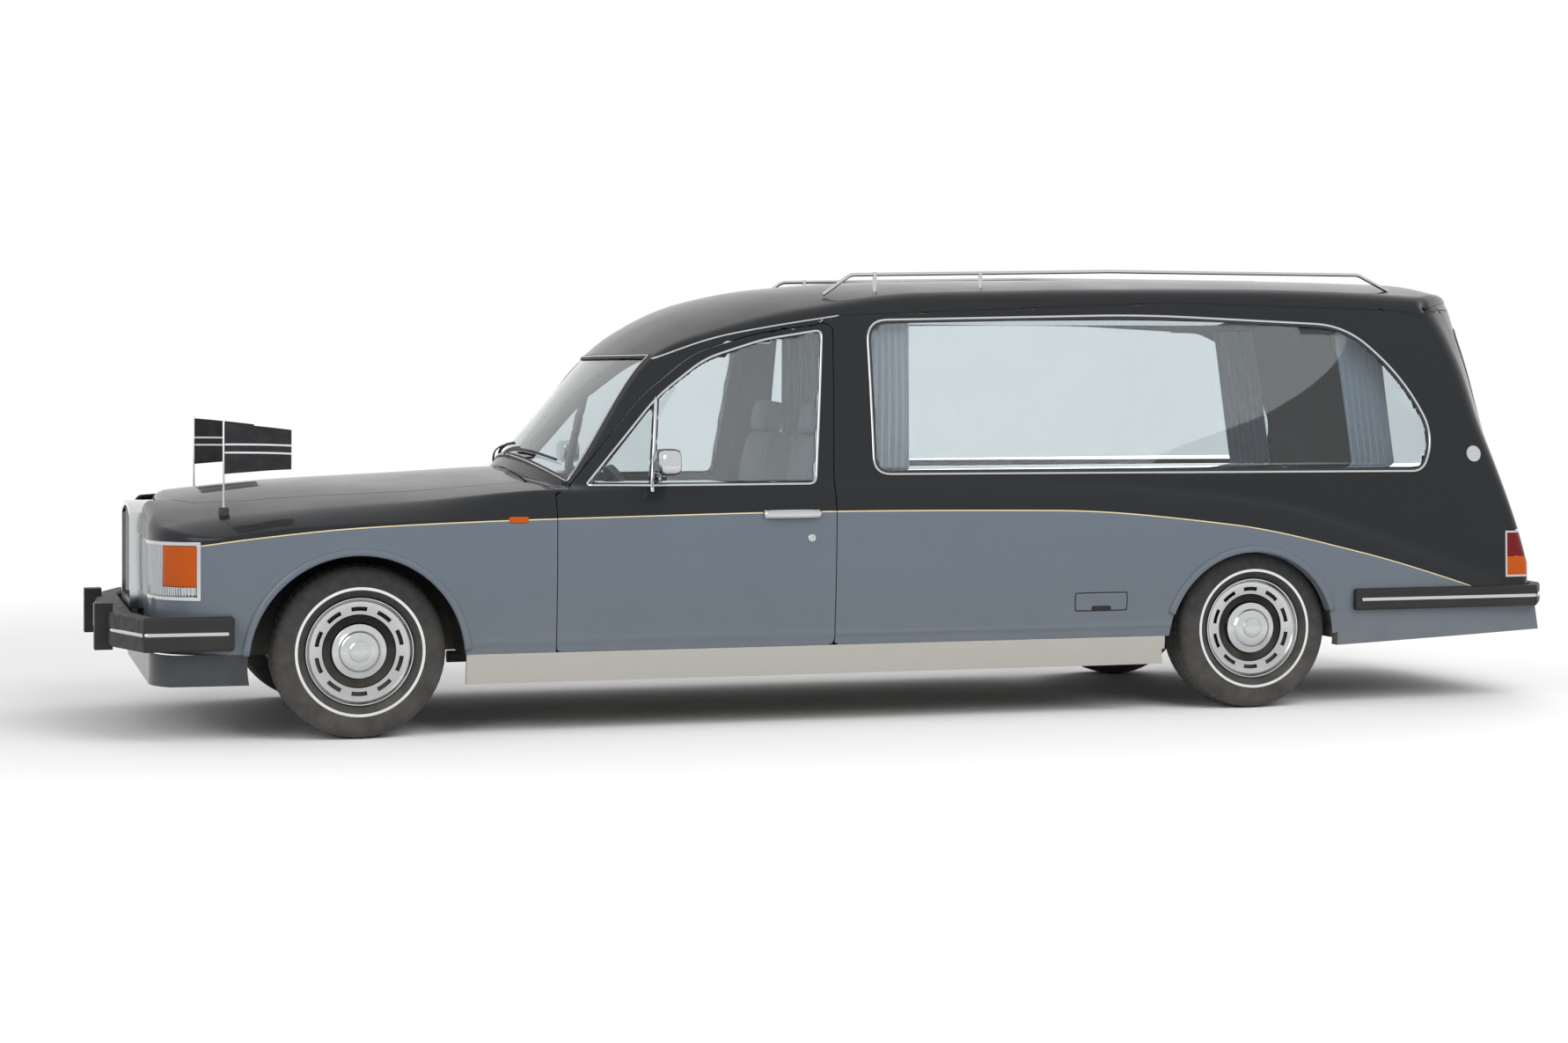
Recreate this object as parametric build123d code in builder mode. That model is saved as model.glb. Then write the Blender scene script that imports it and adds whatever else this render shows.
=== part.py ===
import os

from build123d import *

os.makedirs("parts", exist_ok=True)

# A hearse on a long two-door saloon base. Millimetres; X runs forward, Y to the left, Z up.
# The origin is on the ground, below the middle of the car's length and width.

# Main sizes of the car
overall_length = 6325
front_overhang = 995
wheelbase = 3830
body_width = 1886
roof_height = 1870
shoulder_height = 865
half_width = body_width / 2
front_axle_x = overall_length / 2 - front_overhang
rear_axle_x = front_axle_x - wheelbase
tail_x = -overall_length / 2

# Heights and places of the main panel lines
sill_bottom = 205
sill_top = 326
waist_height = 985
foot_height = 300
body_front_x = front_axle_x + 800
nose_corner_radius = 260
door_front_back = 777
door_rear_back = 1935
bonnet_rear_back = 700
bonnet_front_ahead = 735
apron_top = 350
apron_bottom = 226
tail_base_height = 700
tail_lean = 172
tail_lean_height = 1063
tail_bow = 175
bumper_stand = 25

# Wall thicknesses and gaps
skin = 10
side_wall = 60
pillar_wall = 42
door_skin = 20
door_step = 8
shut_gap = 7
seat_gap = 0.3
glass_inset = 4
glass_thickness = 6
overrun = 20

# Wheels
tyre_radius = 345
tyre_width = 235
rim_radius = 214
rim_wall = 9
track_width = 1540
hub_radius = 58
stub_radius = 30
slot_count = 10
slot_circle_radius = 168
slot_length = 55
slot_width = 14
cap_radius = 110
cap_depth = 24
brake_disc_radius = 150
brake_disc_thickness = 24
wheel_y = track_width / 2

# Wheel arches: opening radius, its centre ahead of the axle and its height, and the housing
front_arch_radius = 425
front_arch_ahead = 13
front_arch_height = 307
rear_arch_radius = 387
rear_arch_ahead = 24
rear_arch_height = 294
front_housing_radius = 455
front_housing_inner_y = 455
rear_housing_radius = 408
rear_housing_inner_y = 600
housing_outer_y = 903
housing_wall = 5

# Lower body sections. Columns: place behind the front axle as a share of the wheelbase; half
# widths at the sill, the shoulder and the top edge as shares of the half width; heights of the
# shoulder, the top edge and the crown as shares of the shoulder height.
lower_section_shares = (
    (-0.230, 0.900, 0.925, 0.730, 0.880, 0.950, 1.082),
    (-0.162, 0.922, 0.962, 0.784, 0.915, 1.004, 1.118),
    (-0.065, 0.941, 0.990, 0.837, 0.969, 1.046, 1.156),
    (0.065, 0.946, 0.997, 0.869, 0.992, 1.081, 1.183),
    (0.203, 0.949, 1.000, 0.938, 1.000, 1.128, 1.209),
    (0.506, 0.949, 1.000, 0.957, 1.005, 1.139, 1.160),
    (0.793, 0.949, 1.000, 0.962, 0.990, 1.106, 1.130),
    (1.014, 0.946, 0.990, 0.960, 0.890, 1.007, 1.035),
    (1.144, 0.938, 0.975, 0.946, 0.757, 0.852, 0.880),
    (1.264, 0.917, 0.950, 0.924, 0.601, 0.682, 0.710),
    (1.410, 0.865, 0.890, 0.872, 0.410, 0.470, 0.500),
)
belly_share = 0.62
belly_bulge_share = 0.30

# Upper body sections. Columns: place behind the front axle as a share of the wheelbase; half
# width and height of the waist, the gutter and the roof edge, and the height of the roof's
# middle. Half widths are shares of the half width, heights shares of the roof height.
upper_section_shares = (
    (0.167, 0.955, 0.270, 0.935, 0.375, 0.900, 0.393, 0.523),
    (0.225, 0.955, 0.400, 0.872, 0.521, 0.840, 0.539, 0.662),
    (0.3235, 0.953, 0.520, 0.735, 0.800, 0.695, 0.817, 0.868),
    (0.392, 0.953, 0.527, 0.747, 0.845, 0.690, 0.872, 0.935),
    (0.483, 0.950, 0.527, 0.763, 0.885, 0.690, 0.918, 0.970),
    (0.627, 0.935, 0.527, 0.772, 0.917, 0.690, 0.956, 0.990),
    (1.018, 0.932, 0.527, 0.772, 0.932, 0.687, 0.970, 1.000),
    (1.253, 0.920, 0.527, 0.757, 0.914, 0.672, 0.955, 0.994),
    (1.339, 0.905, 0.527, 0.738, 0.874, 0.652, 0.908, 0.950),
    (1.420, 0.890, 0.527, 0.715, 0.800, 0.625, 0.835, 0.860),
)
foot_width_share = 0.915
roof_corner_shares = ((0.13, 0.52), (0.48, 0.87))

# Side outlines. Columns: place behind the front axle as a share of the wheelbase, height as a
# share of the roof height. Each runs round its opening or panel.
door_window_shares = (
    (0.2380, 0.5290),
    (0.3190, 0.7200),
    (0.3740, 0.8040),
    (0.4390, 0.8470),
    (0.5050, 0.8690),
    (0.4860, 0.5290),
)
quarter_bar_shares = (
    (0.3022, 0.5150),
    (0.3163, 0.7350),
    (0.3229, 0.7350),
    (0.3088, 0.5150),
)
door_top_shares = (
    (0.2029, 0.5120),
    (0.2200, 0.5230),
    (0.3020, 0.7200),
    (0.3640, 0.8180),
    (0.4330, 0.8600),
    (0.5100, 0.8830),
    (0.5170, 0.8750),
    (0.5060, 0.5270),
)
gutter_shares = (
    (0.2600, 0.8020),
    (0.3190, 0.8030),
    (0.5250, 0.9020),
    (0.9140, 0.9370),
    (1.2000, 0.9220),
    (1.3100, 0.8850),
    (1.4300, 0.8000),
)
side_window_shares = (
    (0.5530, 0.5480),
    (0.5560, 0.8910),
    (0.8800, 0.9070),
    (1.1320, 0.8850),
    (1.2050, 0.7500),
    (1.2330, 0.6150),
    (1.2130, 0.5430),
)
side_window_radius_shares = (0.022, 0.027, 0.20, 0.045, 0.10, 0.05, 0.014)


def behind(share):
    """Place along the car, given as a share of the wheelbase behind the front axle."""
    return front_axle_x - wheelbase * share


def side_points(shares):
    """Points of a side outline in the X and Z directions."""
    return [(behind(back), roof_height * up) for back, up in shares]


def lower_form(inset):
    """Solid of the lower body, with its nose and tail trimmed, inset from its outside."""
    with BuildPart() as form:
        for back, sill, shoulder, top, shoulder_up, top_up, crown_up in lower_section_shares:
            base_z = sill_bottom - inset
            shoulder_z = shoulder_height * shoulder_up
            top_z = shoulder_height * top_up - inset
            crown_z = shoulder_height * crown_up - inset
            sill_y = half_width * sill - inset
            shoulder_y = half_width * shoulder - inset
            top_y = half_width * top - inset
            belly_z = base_z + belly_share * (shoulder_z - base_z)
            belly_y = shoulder_y - belly_bulge_share * (shoulder_y - sill_y) * (1 - belly_share)
            with BuildSketch(Plane.YZ.offset(behind(back))):
                with BuildLine():
                    Line((0, base_z), (sill_y, base_z))
                    ThreePointArc((sill_y, base_z), (belly_y, belly_z), (shoulder_y, shoulder_z))
                    ThreePointArc(
                        (shoulder_y, shoulder_z),
                        ((shoulder_y + top_y) / 2, shoulder_z + 0.6 * (top_z - shoulder_z)),
                        (top_y, top_z),
                    )
                    ThreePointArc((top_y, top_z), (top_y / 2, top_z + 0.77 * (crown_z - top_z)), (0, crown_z))
                    mirror(about=Plane.YZ)
                make_face()
        loft(ruled=True)
        add(plan_prism(inset), mode=Mode.INTERSECT)
        add(tail_prism(inset), mode=Mode.INTERSECT)
    return form.part


def plan_prism(inset):
    """Solid inside the car's plan outline, with its rounded nose, inset from its ends."""
    front = body_front_x - inset
    rear = tail_x + bumper_stand + inset
    with BuildPart() as prism:
        with BuildSketch(Plane.XY):
            with Locations(((front + rear) / 2, 0)):
                Rectangle(front - rear, body_width)
            nose = [v for v in vertices() if v.X > 0]
            fillet(nose, nose_corner_radius)
        extrude(amount=roof_height * 2)
    return prism.part


def tail_prism(inset):
    """Solid of all that lies ahead of the leaning, bowed tail."""
    lean = Vector(tail_lean, 0, tail_lean_height).normalized()
    tail_place = (tail_x + bumper_stand + inset, 0, tail_base_height)
    plane = Plane(origin=tail_place, x_dir=(0, 1, 0), z_dir=lean)
    with BuildPart() as prism:
        with BuildSketch(plane):
            with BuildLine():
                ThreePointArc((half_width, -tail_bow), (0, 0), (-half_width, -tail_bow))
                Polyline(
                    (-half_width, -tail_bow),
                    (-half_width, -overall_length * 2),
                    (half_width, -overall_length * 2),
                    (half_width, -tail_bow),
                )
            make_face()
        extrude(amount=roof_height * 4, both=True)
    return prism.part


def upper_form(inset):
    """Solid of the upper body from the windscreen to the tail, inset from its outside."""
    with BuildPart() as form:
        for section in upper_section_shares:
            back, waist, waist_up, gutter, gutter_up, edge, edge_up, roof_up = section
            foot = (half_width * foot_width_share - inset, foot_height - inset)
            waist_point = (half_width * waist - inset, roof_height * waist_up)
            gutter_point = (half_width * gutter - inset, roof_height * gutter_up)
            edge_point = (half_width * edge - inset, roof_height * edge_up - inset)
            roof_z = roof_height * roof_up - inset
            reach = Vector(*edge_point) - Vector(*gutter_point)
            corner = [Vector(*gutter_point) + Vector(reach.X * a, reach.Y * b) for a, b in roof_corner_shares]
            middle = (edge_point[0] / 2, edge_point[1] + 0.76 * (roof_z - edge_point[1]))
            with BuildSketch(Plane.YZ.offset(behind(back))):
                with BuildLine():
                    Line((0, foot[1]), foot)
                    Line(foot, waist_point)
                    Line(waist_point, gutter_point)
                    Polyline(gutter_point, *corner, edge_point)
                    ThreePointArc(edge_point, middle, (0, roof_z))
                    mirror(about=Plane.YZ)
                make_face()
        loft(ruled=True)
        add(plan_prism(inset), mode=Mode.INTERSECT)
        add(tail_prism(inset), mode=Mode.INTERSECT)
    return form.part


def side_prism(points):
    """All that lies to the left of the middle plane inside a side outline."""
    with BuildPart() as prism:
        with BuildSketch(Plane.XZ):
            with BuildLine():
                Polyline(*points, close=True)
            make_face()
        extrude(amount=-body_width)
    return prism.part


def region(x_range, y_range, z_range):
    """Block between two places along each direction."""
    spans = [sorted(span) for span in (x_range, y_range, z_range)]
    centre = [(low + high) / 2 for low, high in spans]
    with BuildPart() as block:
        with Locations(tuple(centre)):
            Box(*[high - low for low, high in spans])
    return block.part


def wheel_cylinder(axle_x, height, radius, y_range):
    """Cylinder across the car, about a wheel arch or a wheel."""
    with BuildPart() as cylinder:
        with BuildSketch(Plane.XZ.offset(-y_range[0])):
            with Locations((axle_x, height)):
                Circle(radius)
        extrude(amount=y_range[0] - y_range[1])
    return cylinder.part


def cut_piece(blank, keep=(), take=()):
    """A panel: the blank inside every form to keep and outside every form to take away."""
    with BuildPart() as piece:
        add(blank)
        for form in keep:
            add(form, mode=Mode.INTERSECT)
        for form in take:
            add(form, mode=Mode.SUBTRACT)
    return piece.part


def save(part, name):
    """Label a finished piece and write its file."""
    part.label = name
    export_step(part, f"parts/{name}.step")


def mirrored(part):
    """The same piece on the right side of the car."""
    with BuildPart() as other:
        mirror(part, about=Plane.XZ)
    return other.part


def pair(part):
    """The piece and its mirror image as one node of two solids."""
    with BuildPart() as both:
        add(part)
        mirror(part, about=Plane.XZ)
    return both.part


# Whole forms that the panels are cut from
lower_outer = lower_form(0)
upper_outer = upper_form(0)
front_shell = lower_outer - lower_form(skin)
outer_form = lower_outer + upper_outer
inner_form = lower_form(side_wall) + upper_form(pillar_wall)
body_shell = outer_form - inner_form

# Regions
door_front_x = front_axle_x - door_front_back
door_rear_x = front_axle_x - door_rear_back
bonnet_rear_x = front_axle_x - bonnet_rear_back
far_x = overall_length
far_y = body_width
far_z = roof_height * 2
front_arch_x = front_axle_x + front_arch_ahead
rear_arch_x = rear_axle_x + rear_arch_ahead
front_arch = wheel_cylinder(front_arch_x, front_arch_height, front_arch_radius, (0, far_y))
rear_arch = wheel_cylinder(rear_arch_x, rear_arch_height, rear_arch_radius, (0, far_y))
rear_well = wheel_cylinder(
    rear_arch_x, rear_arch_height, rear_housing_radius + housing_wall + seat_gap, (0, housing_outer_y + seat_gap)
)
left_half = region((-far_x, far_x), (0, far_y), (0, far_z))

# Bonnet, cut in plan. Columns: place ahead of the front axle as a share of the wheelbase, half
# width as a share of the half width of the body.
bonnet_plan_shares = (
    (0.192, 0.320),
    (0.160, 0.520),
    (0.105, 0.610),
    (-0.1828, 0.730),
)


def bonnet_prism(gap):
    """Plan region of the bonnet, wider all round by a gap."""
    with BuildPart() as prism:
        with BuildSketch(Plane.XY.offset(shoulder_height * 0.8)):
            with BuildLine():
                right = [(front_axle_x + wheelbase * a, -half_width * b) for a, b in bonnet_plan_shares]
                left = [(x, -y) for x, y in reversed(right)]
                Polyline(*right, *left, close=True)
            make_face()
            offset(amount=gap, kind=Kind.INTERSECTION)
        extrude(amount=far_z)
    return prism.part


pin_radius = 3.2
bonnet_hinge_z = 1038
bonnet_pin_half = 90
bonnet_region = bonnet_prism(-shut_gap / 2)
bonnet_hole = bonnet_prism(shut_gap / 2)
bonnet_panel = cut_piece(front_shell, keep=[bonnet_region])
with BuildPart() as bonnet:
    add(bonnet_panel)
    add(wheel_cylinder(bonnet_rear_x, bonnet_hinge_z, pin_radius, (-bonnet_pin_half, bonnet_pin_half)))
    add(
        region(
            (bonnet_rear_x, bonnet_rear_x + shut_gap),
            (-bonnet_pin_half, bonnet_pin_half),
            (bonnet_hinge_z - pin_radius / 2, bonnet_hinge_z + pin_radius / 2),
        )
    )
save(bonnet.part, "bonnet")

# Front wings, with openings for the lamps, the grille and the wheels
lamp_inner_y = 395
lamp_bottom = 563
lamp_top = 783
lamp_side_x = front_axle_x + 620
lamp_depth = 90
grille_half_width = 282
grille_bottom = 495
grille_top = 880
grille_crown = 40
grille_front_x = front_axle_x + 848
grille_depth = 110
cowl_half_width = 815
lamp_region = region((lamp_side_x, far_x), (lamp_inner_y, far_y), (lamp_bottom, lamp_top))
lamp_hole = region(
    (lamp_side_x - seat_gap, far_x),
    (lamp_inner_y - seat_gap, far_y),
    (lamp_bottom - seat_gap, lamp_top + seat_gap),
)
grille_hole = region(
    (grille_front_x - grille_depth - seat_gap, far_x),
    (0, grille_half_width + seat_gap),
    (grille_bottom - seat_gap, far_z),
)
cowl_hole = region((bonnet_rear_x, -far_x), (0, cowl_half_width), (shoulder_height, far_z))
wing_x = door_front_x + shut_gap / 2
wing_left = cut_piece(
    front_shell,
    keep=[region((wing_x, far_x), (0, far_y), (apron_top, far_z))],
    take=[bonnet_hole, front_arch, lamp_hole, grille_hole, cowl_hole],
)
wing_sill = cut_piece(
    front_shell,
    keep=[region((wing_x, front_arch_x), (0, far_y), (sill_top, apron_top)), left_half],
    take=[front_arch, region((-far_x, far_x), (0, half_width * 0.8), (0, far_z))],
)
wing_left = cut_piece(wing_left + wing_sill)
save(wing_left, "wing_left")
save(mirrored(wing_left), "wing_right")

# Door opening
door_line = side_points(door_top_shares)
door_low = sill_top + shut_gap


def door_prism(gap, step):
    """Side region of the door, smaller all round by a gap and at its rear and foot by a step."""
    outline = [(door_front_x, door_low - shut_gap), *door_line, (door_rear_x, door_low - shut_gap)]
    with BuildPart() as prism:
        with BuildSketch(Plane.XZ):
            with BuildLine():
                Polyline(*outline, close=True)
            make_face()
            offset(amount=-gap - step, kind=Kind.INTERSECTION)
        extrude(amount=-body_width)
    return prism.part


door_hole = door_prism(-shut_gap / 2, 0)

# Apron below the front bumper
apron_rear_x = front_axle_x + front_arch_radius
front_apron = cut_piece(
    front_shell,
    keep=[region((apron_rear_x - wheelbase * 0.02, far_x), (far_y, -far_y), (apron_bottom, apron_top - seat_gap))],
    take=[front_arch, mirrored(front_arch)],
)
save(front_apron, "front_apron")

# Roof and pillars above and ahead of the doors
gutter_line = side_points(gutter_shares)
roof_region = side_prism([(gutter_line[0][0], far_z), *gutter_line, (gutter_line[-1][0], far_z)])
screen_top_z = roof_height * 0.8105
screen_base_z = roof_height * 0.5360
screen_crown_z = roof_height * 0.5860
screen_top_half = half_width * 0.682
screen_base_half = half_width * 0.822
screen_rear_x = front_axle_x - wheelbase * 0.36


def screen_prism(gap):
    """Windscreen opening seen from ahead, narrower all round by a gap."""
    with BuildPart() as prism:
        with BuildSketch(Plane.YZ.offset(bonnet_rear_x + side_wall)):
            with BuildLine():
                ThreePointArc(
                    (-screen_base_half, screen_base_z), (0, screen_crown_z), (screen_base_half, screen_base_z)
                )
                Line((screen_base_half, screen_base_z), (screen_top_half, screen_top_z))
                Line((screen_top_half, screen_top_z), (-screen_top_half, screen_top_z))
                Line((-screen_top_half, screen_top_z), (-screen_base_half, screen_base_z))
            make_face()
            offset(amount=-gap, kind=Kind.INTERSECTION)
        extrude(amount=screen_rear_x - bonnet_rear_x - side_wall)
    return prism.part


screen_hole = screen_prism(0)
tailgate_top = roof_height * 0.925
tailgate_bottom = 528
tailgate_top_half = half_width * 0.62
tailgate_base_half = half_width * 0.74
tailgate_front_x = tail_x + tail_lean + tail_bow + side_wall * 2


def tailgate_prism(gap):
    """Tailgate region seen from behind, smaller all round by a gap."""
    with BuildPart() as prism:
        with BuildSketch(Plane.YZ.offset(tailgate_front_x)):
            with BuildLine():
                Polyline(
                    (-tailgate_base_half, tailgate_bottom),
                    (tailgate_base_half, tailgate_bottom),
                    (tailgate_top_half, tailgate_top),
                    (-tailgate_top_half, tailgate_top),
                    close=True,
                )
            make_face()
            offset(amount=-gap, kind=Kind.INTERSECTION)
        extrude(amount=-overall_length)
    return prism.part


tailgate_hole = tailgate_prism(-shut_gap / 2)
roof_half = cut_piece(body_shell, keep=[roof_region], take=[screen_hole, tailgate_hole, door_hole])
with BuildPart() as roof:
    add(roof_half)
    mirror(roof_half, about=Plane.XZ)
roof = roof.part
save(roof, "roof")

# Cowl between the bonnet and the windscreen
cowl_rear_x = front_axle_x - wheelbase * 0.243
scuttle_half = screen_base_half * 0.97
cowl_skin = outer_form - (lower_form(skin) + upper_form(skin))
pillar_foot = cut_piece(upper_outer, take=[region((-far_x, far_x), (scuttle_half, -scuttle_half), (0, far_z))])
with BuildPart() as cowl_place:
    add(
        region(
            (bonnet_rear_x - shut_gap / 2, cowl_rear_x),
            (cowl_half_width - seat_gap, seat_gap - cowl_half_width),
            (shoulder_height, screen_crown_z),
        )
    )
    add(region((wing_x - seat_gap, cowl_rear_x), (far_y, -far_y), (shoulder_height, screen_crown_z)))
cowl_cut = cut_piece(
    cowl_skin,
    keep=[cowl_place.part],
    take=[pillar_foot, screen_hole, door_hole, mirrored(door_hole)],
)
cowl = max(cowl_cut.solids(), key=lambda s: s.volume)
save(cowl, "cowl")

pillar_region = region((bonnet_rear_x, door_rear_x - shut_gap / 2), (0, far_y), (waist_height * 0.9, far_z))
scuttle_region = region((bonnet_rear_x, -far_x), (0, scuttle_half + seat_gap), (0, screen_crown_z))
pillar_left = cut_piece(
    upper_outer - upper_form(pillar_wall),
    keep=[pillar_region],
    take=[roof_region, screen_hole, door_hole, lower_outer, scuttle_region],
)
pillar_solids = pillar_left.solids().sort_by(SortBy.VOLUME)[-2:]
save(pair(pillar_solids), "pillars")

# Body sides with the load space windows and the rear wheel arches
window_points = side_points(side_window_shares)
window_radii = [wheelbase * share for share in side_window_radius_shares]


def window_prism(gap):
    """Side region of the load space window, smaller all round by a gap."""
    with BuildPart() as prism:
        with BuildSketch(Plane.XZ):
            with BuildLine():
                FilletPolyline(*window_points, radius=window_radii, close=True)
            make_face()
            offset(amount=-gap)
        extrude(amount=-body_width)
    return prism.part


side_window_hole = window_prism(0)
tail_lamp_inner_y = 712
tail_lamp_bottom = 545
tail_lamp_top = 742
tail_lamp_x = front_axle_x - wheelbase * 1.322
tail_lamp_hole = region(
    (tail_lamp_x + seat_gap, -far_x), (tail_lamp_inner_y - seat_gap, far_y), (tail_lamp_bottom - seat_gap, tail_lamp_top + seat_gap)
)
valance_front_x = rear_axle_x - rear_arch_radius * 0.9
valance_top = 414
body_side_left = cut_piece(
    body_shell,
    keep=[region((door_rear_x - shut_gap / 2, -far_x), (0, far_y), (sill_top + seat_gap, far_z))],
    take=[
        roof_region,
        door_hole,
        side_window_hole,
        rear_arch,
        rear_well,
        region((rear_arch_x, -far_x), (0, far_y), (0, valance_top + seat_gap)),
        tailgate_hole,
        tail_lamp_hole,
    ],
)
save(body_side_left, "body_side_left")
save(mirrored(body_side_left), "body_side_right")

# Rear valance below the bumper
valance_front_low = 262
valance_rear_low = 312
valance_half = cut_piece(
    lower_outer - lower_form(side_wall),
    keep=[
        side_prism(
            [
                (valance_front_x, valance_front_low),
                (valance_front_x, valance_top),
                (tail_x - overrun, valance_top),
                (tail_x - overrun, valance_rear_low),
            ]
        )
    ],
    take=[rear_arch, rear_well],
)
with BuildPart() as rear_valance:
    add(valance_half)
    mirror(valance_half, about=Plane.XZ)
save(rear_valance.part, "rear_valance")

# Doors: an outer skin that laps the door opening and an inner frame that sits inside it
door_hinge_y = half_width - 3
door_pin_low = 760
door_pin_length = 90
quarter_bar = side_prism(side_points(quarter_bar_shares))
door_window = side_prism(side_points(door_window_shares)) - quarter_bar
lower_mid = lower_form(door_skin)
upper_mid = upper_form(door_skin)
mid_form = lower_mid + upper_mid
door_outer_skin = cut_piece(outer_form - mid_form, keep=[door_prism(shut_gap / 2, 0)])
door_inner = cut_piece(mid_form - inner_form, keep=[door_prism(shut_gap / 2, door_step)])
door_panel = cut_piece(door_outer_skin + door_inner, take=[door_window])
with BuildPart() as door_left:
    add(door_panel)
    with BuildSketch(Plane.XY.offset(door_pin_low)):
        with Locations((door_front_x, door_hinge_y)):
            Circle(pin_radius)
    extrude(amount=door_pin_length)
    add(
        region(
            (door_front_x, door_front_x - shut_gap),
            (door_hinge_y - pin_radius / 2, door_hinge_y + pin_radius / 2),
            (door_pin_low, door_pin_low + door_pin_length),
        )
    )
door_left = door_left.part
save(door_left, "door_left")
save(mirrored(door_left), "door_right")

# Tailgate with its window
tail_window_low = 1010
tail_window_top = 1640
tail_window_base_half = 575
tail_window_top_half = 490
tail_window_radius = 60
tailgate_hinge_x = tail_x + bumper_stand + tail_lean * (tailgate_top - tail_base_height) / tail_lean_height
tailgate_pin_half = 60


def tail_window_prism(gap):
    """Tailgate window seen from behind, smaller all round by a gap."""
    with BuildPart() as prism:
        with BuildSketch(Plane.YZ.offset(tailgate_front_x)):
            with BuildLine():
                Polyline(
                    (-tail_window_base_half, tail_window_low),
                    (tail_window_base_half, tail_window_low),
                    (tail_window_top_half, tail_window_top),
                    (-tail_window_top_half, tail_window_top),
                    close=True,
                )
            make_face()
            fillet(vertices(), tail_window_radius)
            offset(amount=-gap)
        extrude(amount=-overall_length)
    return prism.part


tail_blank = cut_piece(body_shell, keep=[region((tailgate_front_x, -far_x), (-far_y, far_y), (tailgate_bottom, far_z))])
tailgate = cut_piece(tail_blank, keep=[tailgate_prism(shut_gap / 2)], take=[tail_window_prism(0)])
with BuildPart() as tailgate_piece:
    add(tailgate)
    add(wheel_cylinder(tailgate_hinge_x, tailgate_top, pin_radius, (-tailgate_pin_half, tailgate_pin_half)))
    add(
        region(
            (tailgate_hinge_x - pin_radius, tailgate_hinge_x + pin_radius),
            (-tailgate_pin_half, tailgate_pin_half),
            (tailgate_top - shut_gap, tailgate_top),
        )
    )
save(tailgate_piece.part, "tailgate")

# Glass, all of one thickness and a little below the painted surface
glass_shell = upper_form(glass_inset) - upper_form(glass_inset + glass_thickness)
tail_glass_region = region((tailgate_front_x, -far_x), (-far_y, far_y), (0, far_z))
tailgate_glass = cut_piece(glass_shell, keep=[tail_glass_region, tail_window_prism(seat_gap)])
save(tailgate_glass, "tailgate_glass")
windscreen = cut_piece(glass_shell, keep=[screen_prism(seat_gap)], take=[lower_outer])
side_glass = cut_piece(glass_shell, keep=[window_prism(seat_gap)])
with BuildPart() as fixed_glass:
    add(windscreen)
    add(side_glass)
    mirror(side_glass, about=Plane.XZ)
save(fixed_glass.part, "fixed_glass")
door_glass_left = cut_piece(glass_shell, keep=[door_window])
save(door_glass_left, "door_glass_left")
save(mirrored(door_glass_left), "door_glass_right")

# Lamps
head_lamps = cut_piece(
    lower_outer,
    keep=[lamp_region],
    take=[region((0, body_front_x - lamp_depth), (0, half_width - lamp_depth), (0, far_z)), grille_hole],
)
save(pair(head_lamps), "headlamps")
tail_lamp = cut_piece(
    body_shell,
    keep=[region((tail_lamp_x, -far_x), (tail_lamp_inner_y, far_y), (tail_lamp_bottom, tail_lamp_top))],
)
save(pair(tail_lamp), "tail_lamps")

# Sill trims below the doors
sill_front_back = 416
sill_rear_back = 3405
sill_low = 206
sill_trim = cut_piece(
    lower_outer - lower_mid,
    keep=[
        region(
            (front_axle_x - sill_front_back, front_axle_x - sill_rear_back),
            (half_width * 0.9, far_y),
            (sill_low, sill_top - seat_gap),
        )
    ],
    take=[rear_well],
)
save(pair(sill_trim), "sill_trims")

# Radiator grille: a plain upright shell with vertical vanes
grille_wall = 20
vane_count = 21
vane_thickness = 7
vane_depth = 34
vane_set_back = 8
grille_rear_x = grille_front_x - grille_depth


def grille_block(inset, rear_x, front_x):
    """Block with the grille's crowned front outline, smaller all round by an inset."""
    half = grille_half_width - inset
    low = grille_bottom + inset
    top = grille_top - inset
    with BuildPart() as block:
        with BuildSketch(Plane.YZ.offset(rear_x)):
            with BuildLine():
                Polyline((-half, top), (-half, low), (half, low), (half, top))
                ThreePointArc((half, top), (0, top + grille_crown), (-half, top))
            make_face()
        extrude(amount=front_x - rear_x)
    return block.part


vane_pitch = (grille_half_width - grille_wall) * 2 / (vane_count + 1)
vane_rear_x = grille_front_x - vane_set_back - vane_depth
with BuildPart() as grille:
    add(grille_block(0, grille_rear_x, grille_front_x))
    add(grille_block(grille_wall, grille_rear_x + grille_wall, grille_front_x + overrun), mode=Mode.SUBTRACT)
    for number in range(vane_count):
        vane_y = vane_pitch * (number + 1) - grille_half_width + grille_wall
        vane_top = grille_top - grille_wall / 2 + grille_crown * (1 - (vane_y / grille_half_width) ** 2)
        add(
            region(
                (vane_rear_x, vane_rear_x + vane_depth),
                (vane_y - vane_thickness / 2, vane_y + vane_thickness / 2),
                (grille_bottom + grille_wall / 2, vane_top),
            )
        )
save(grille.part, "grille")

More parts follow.
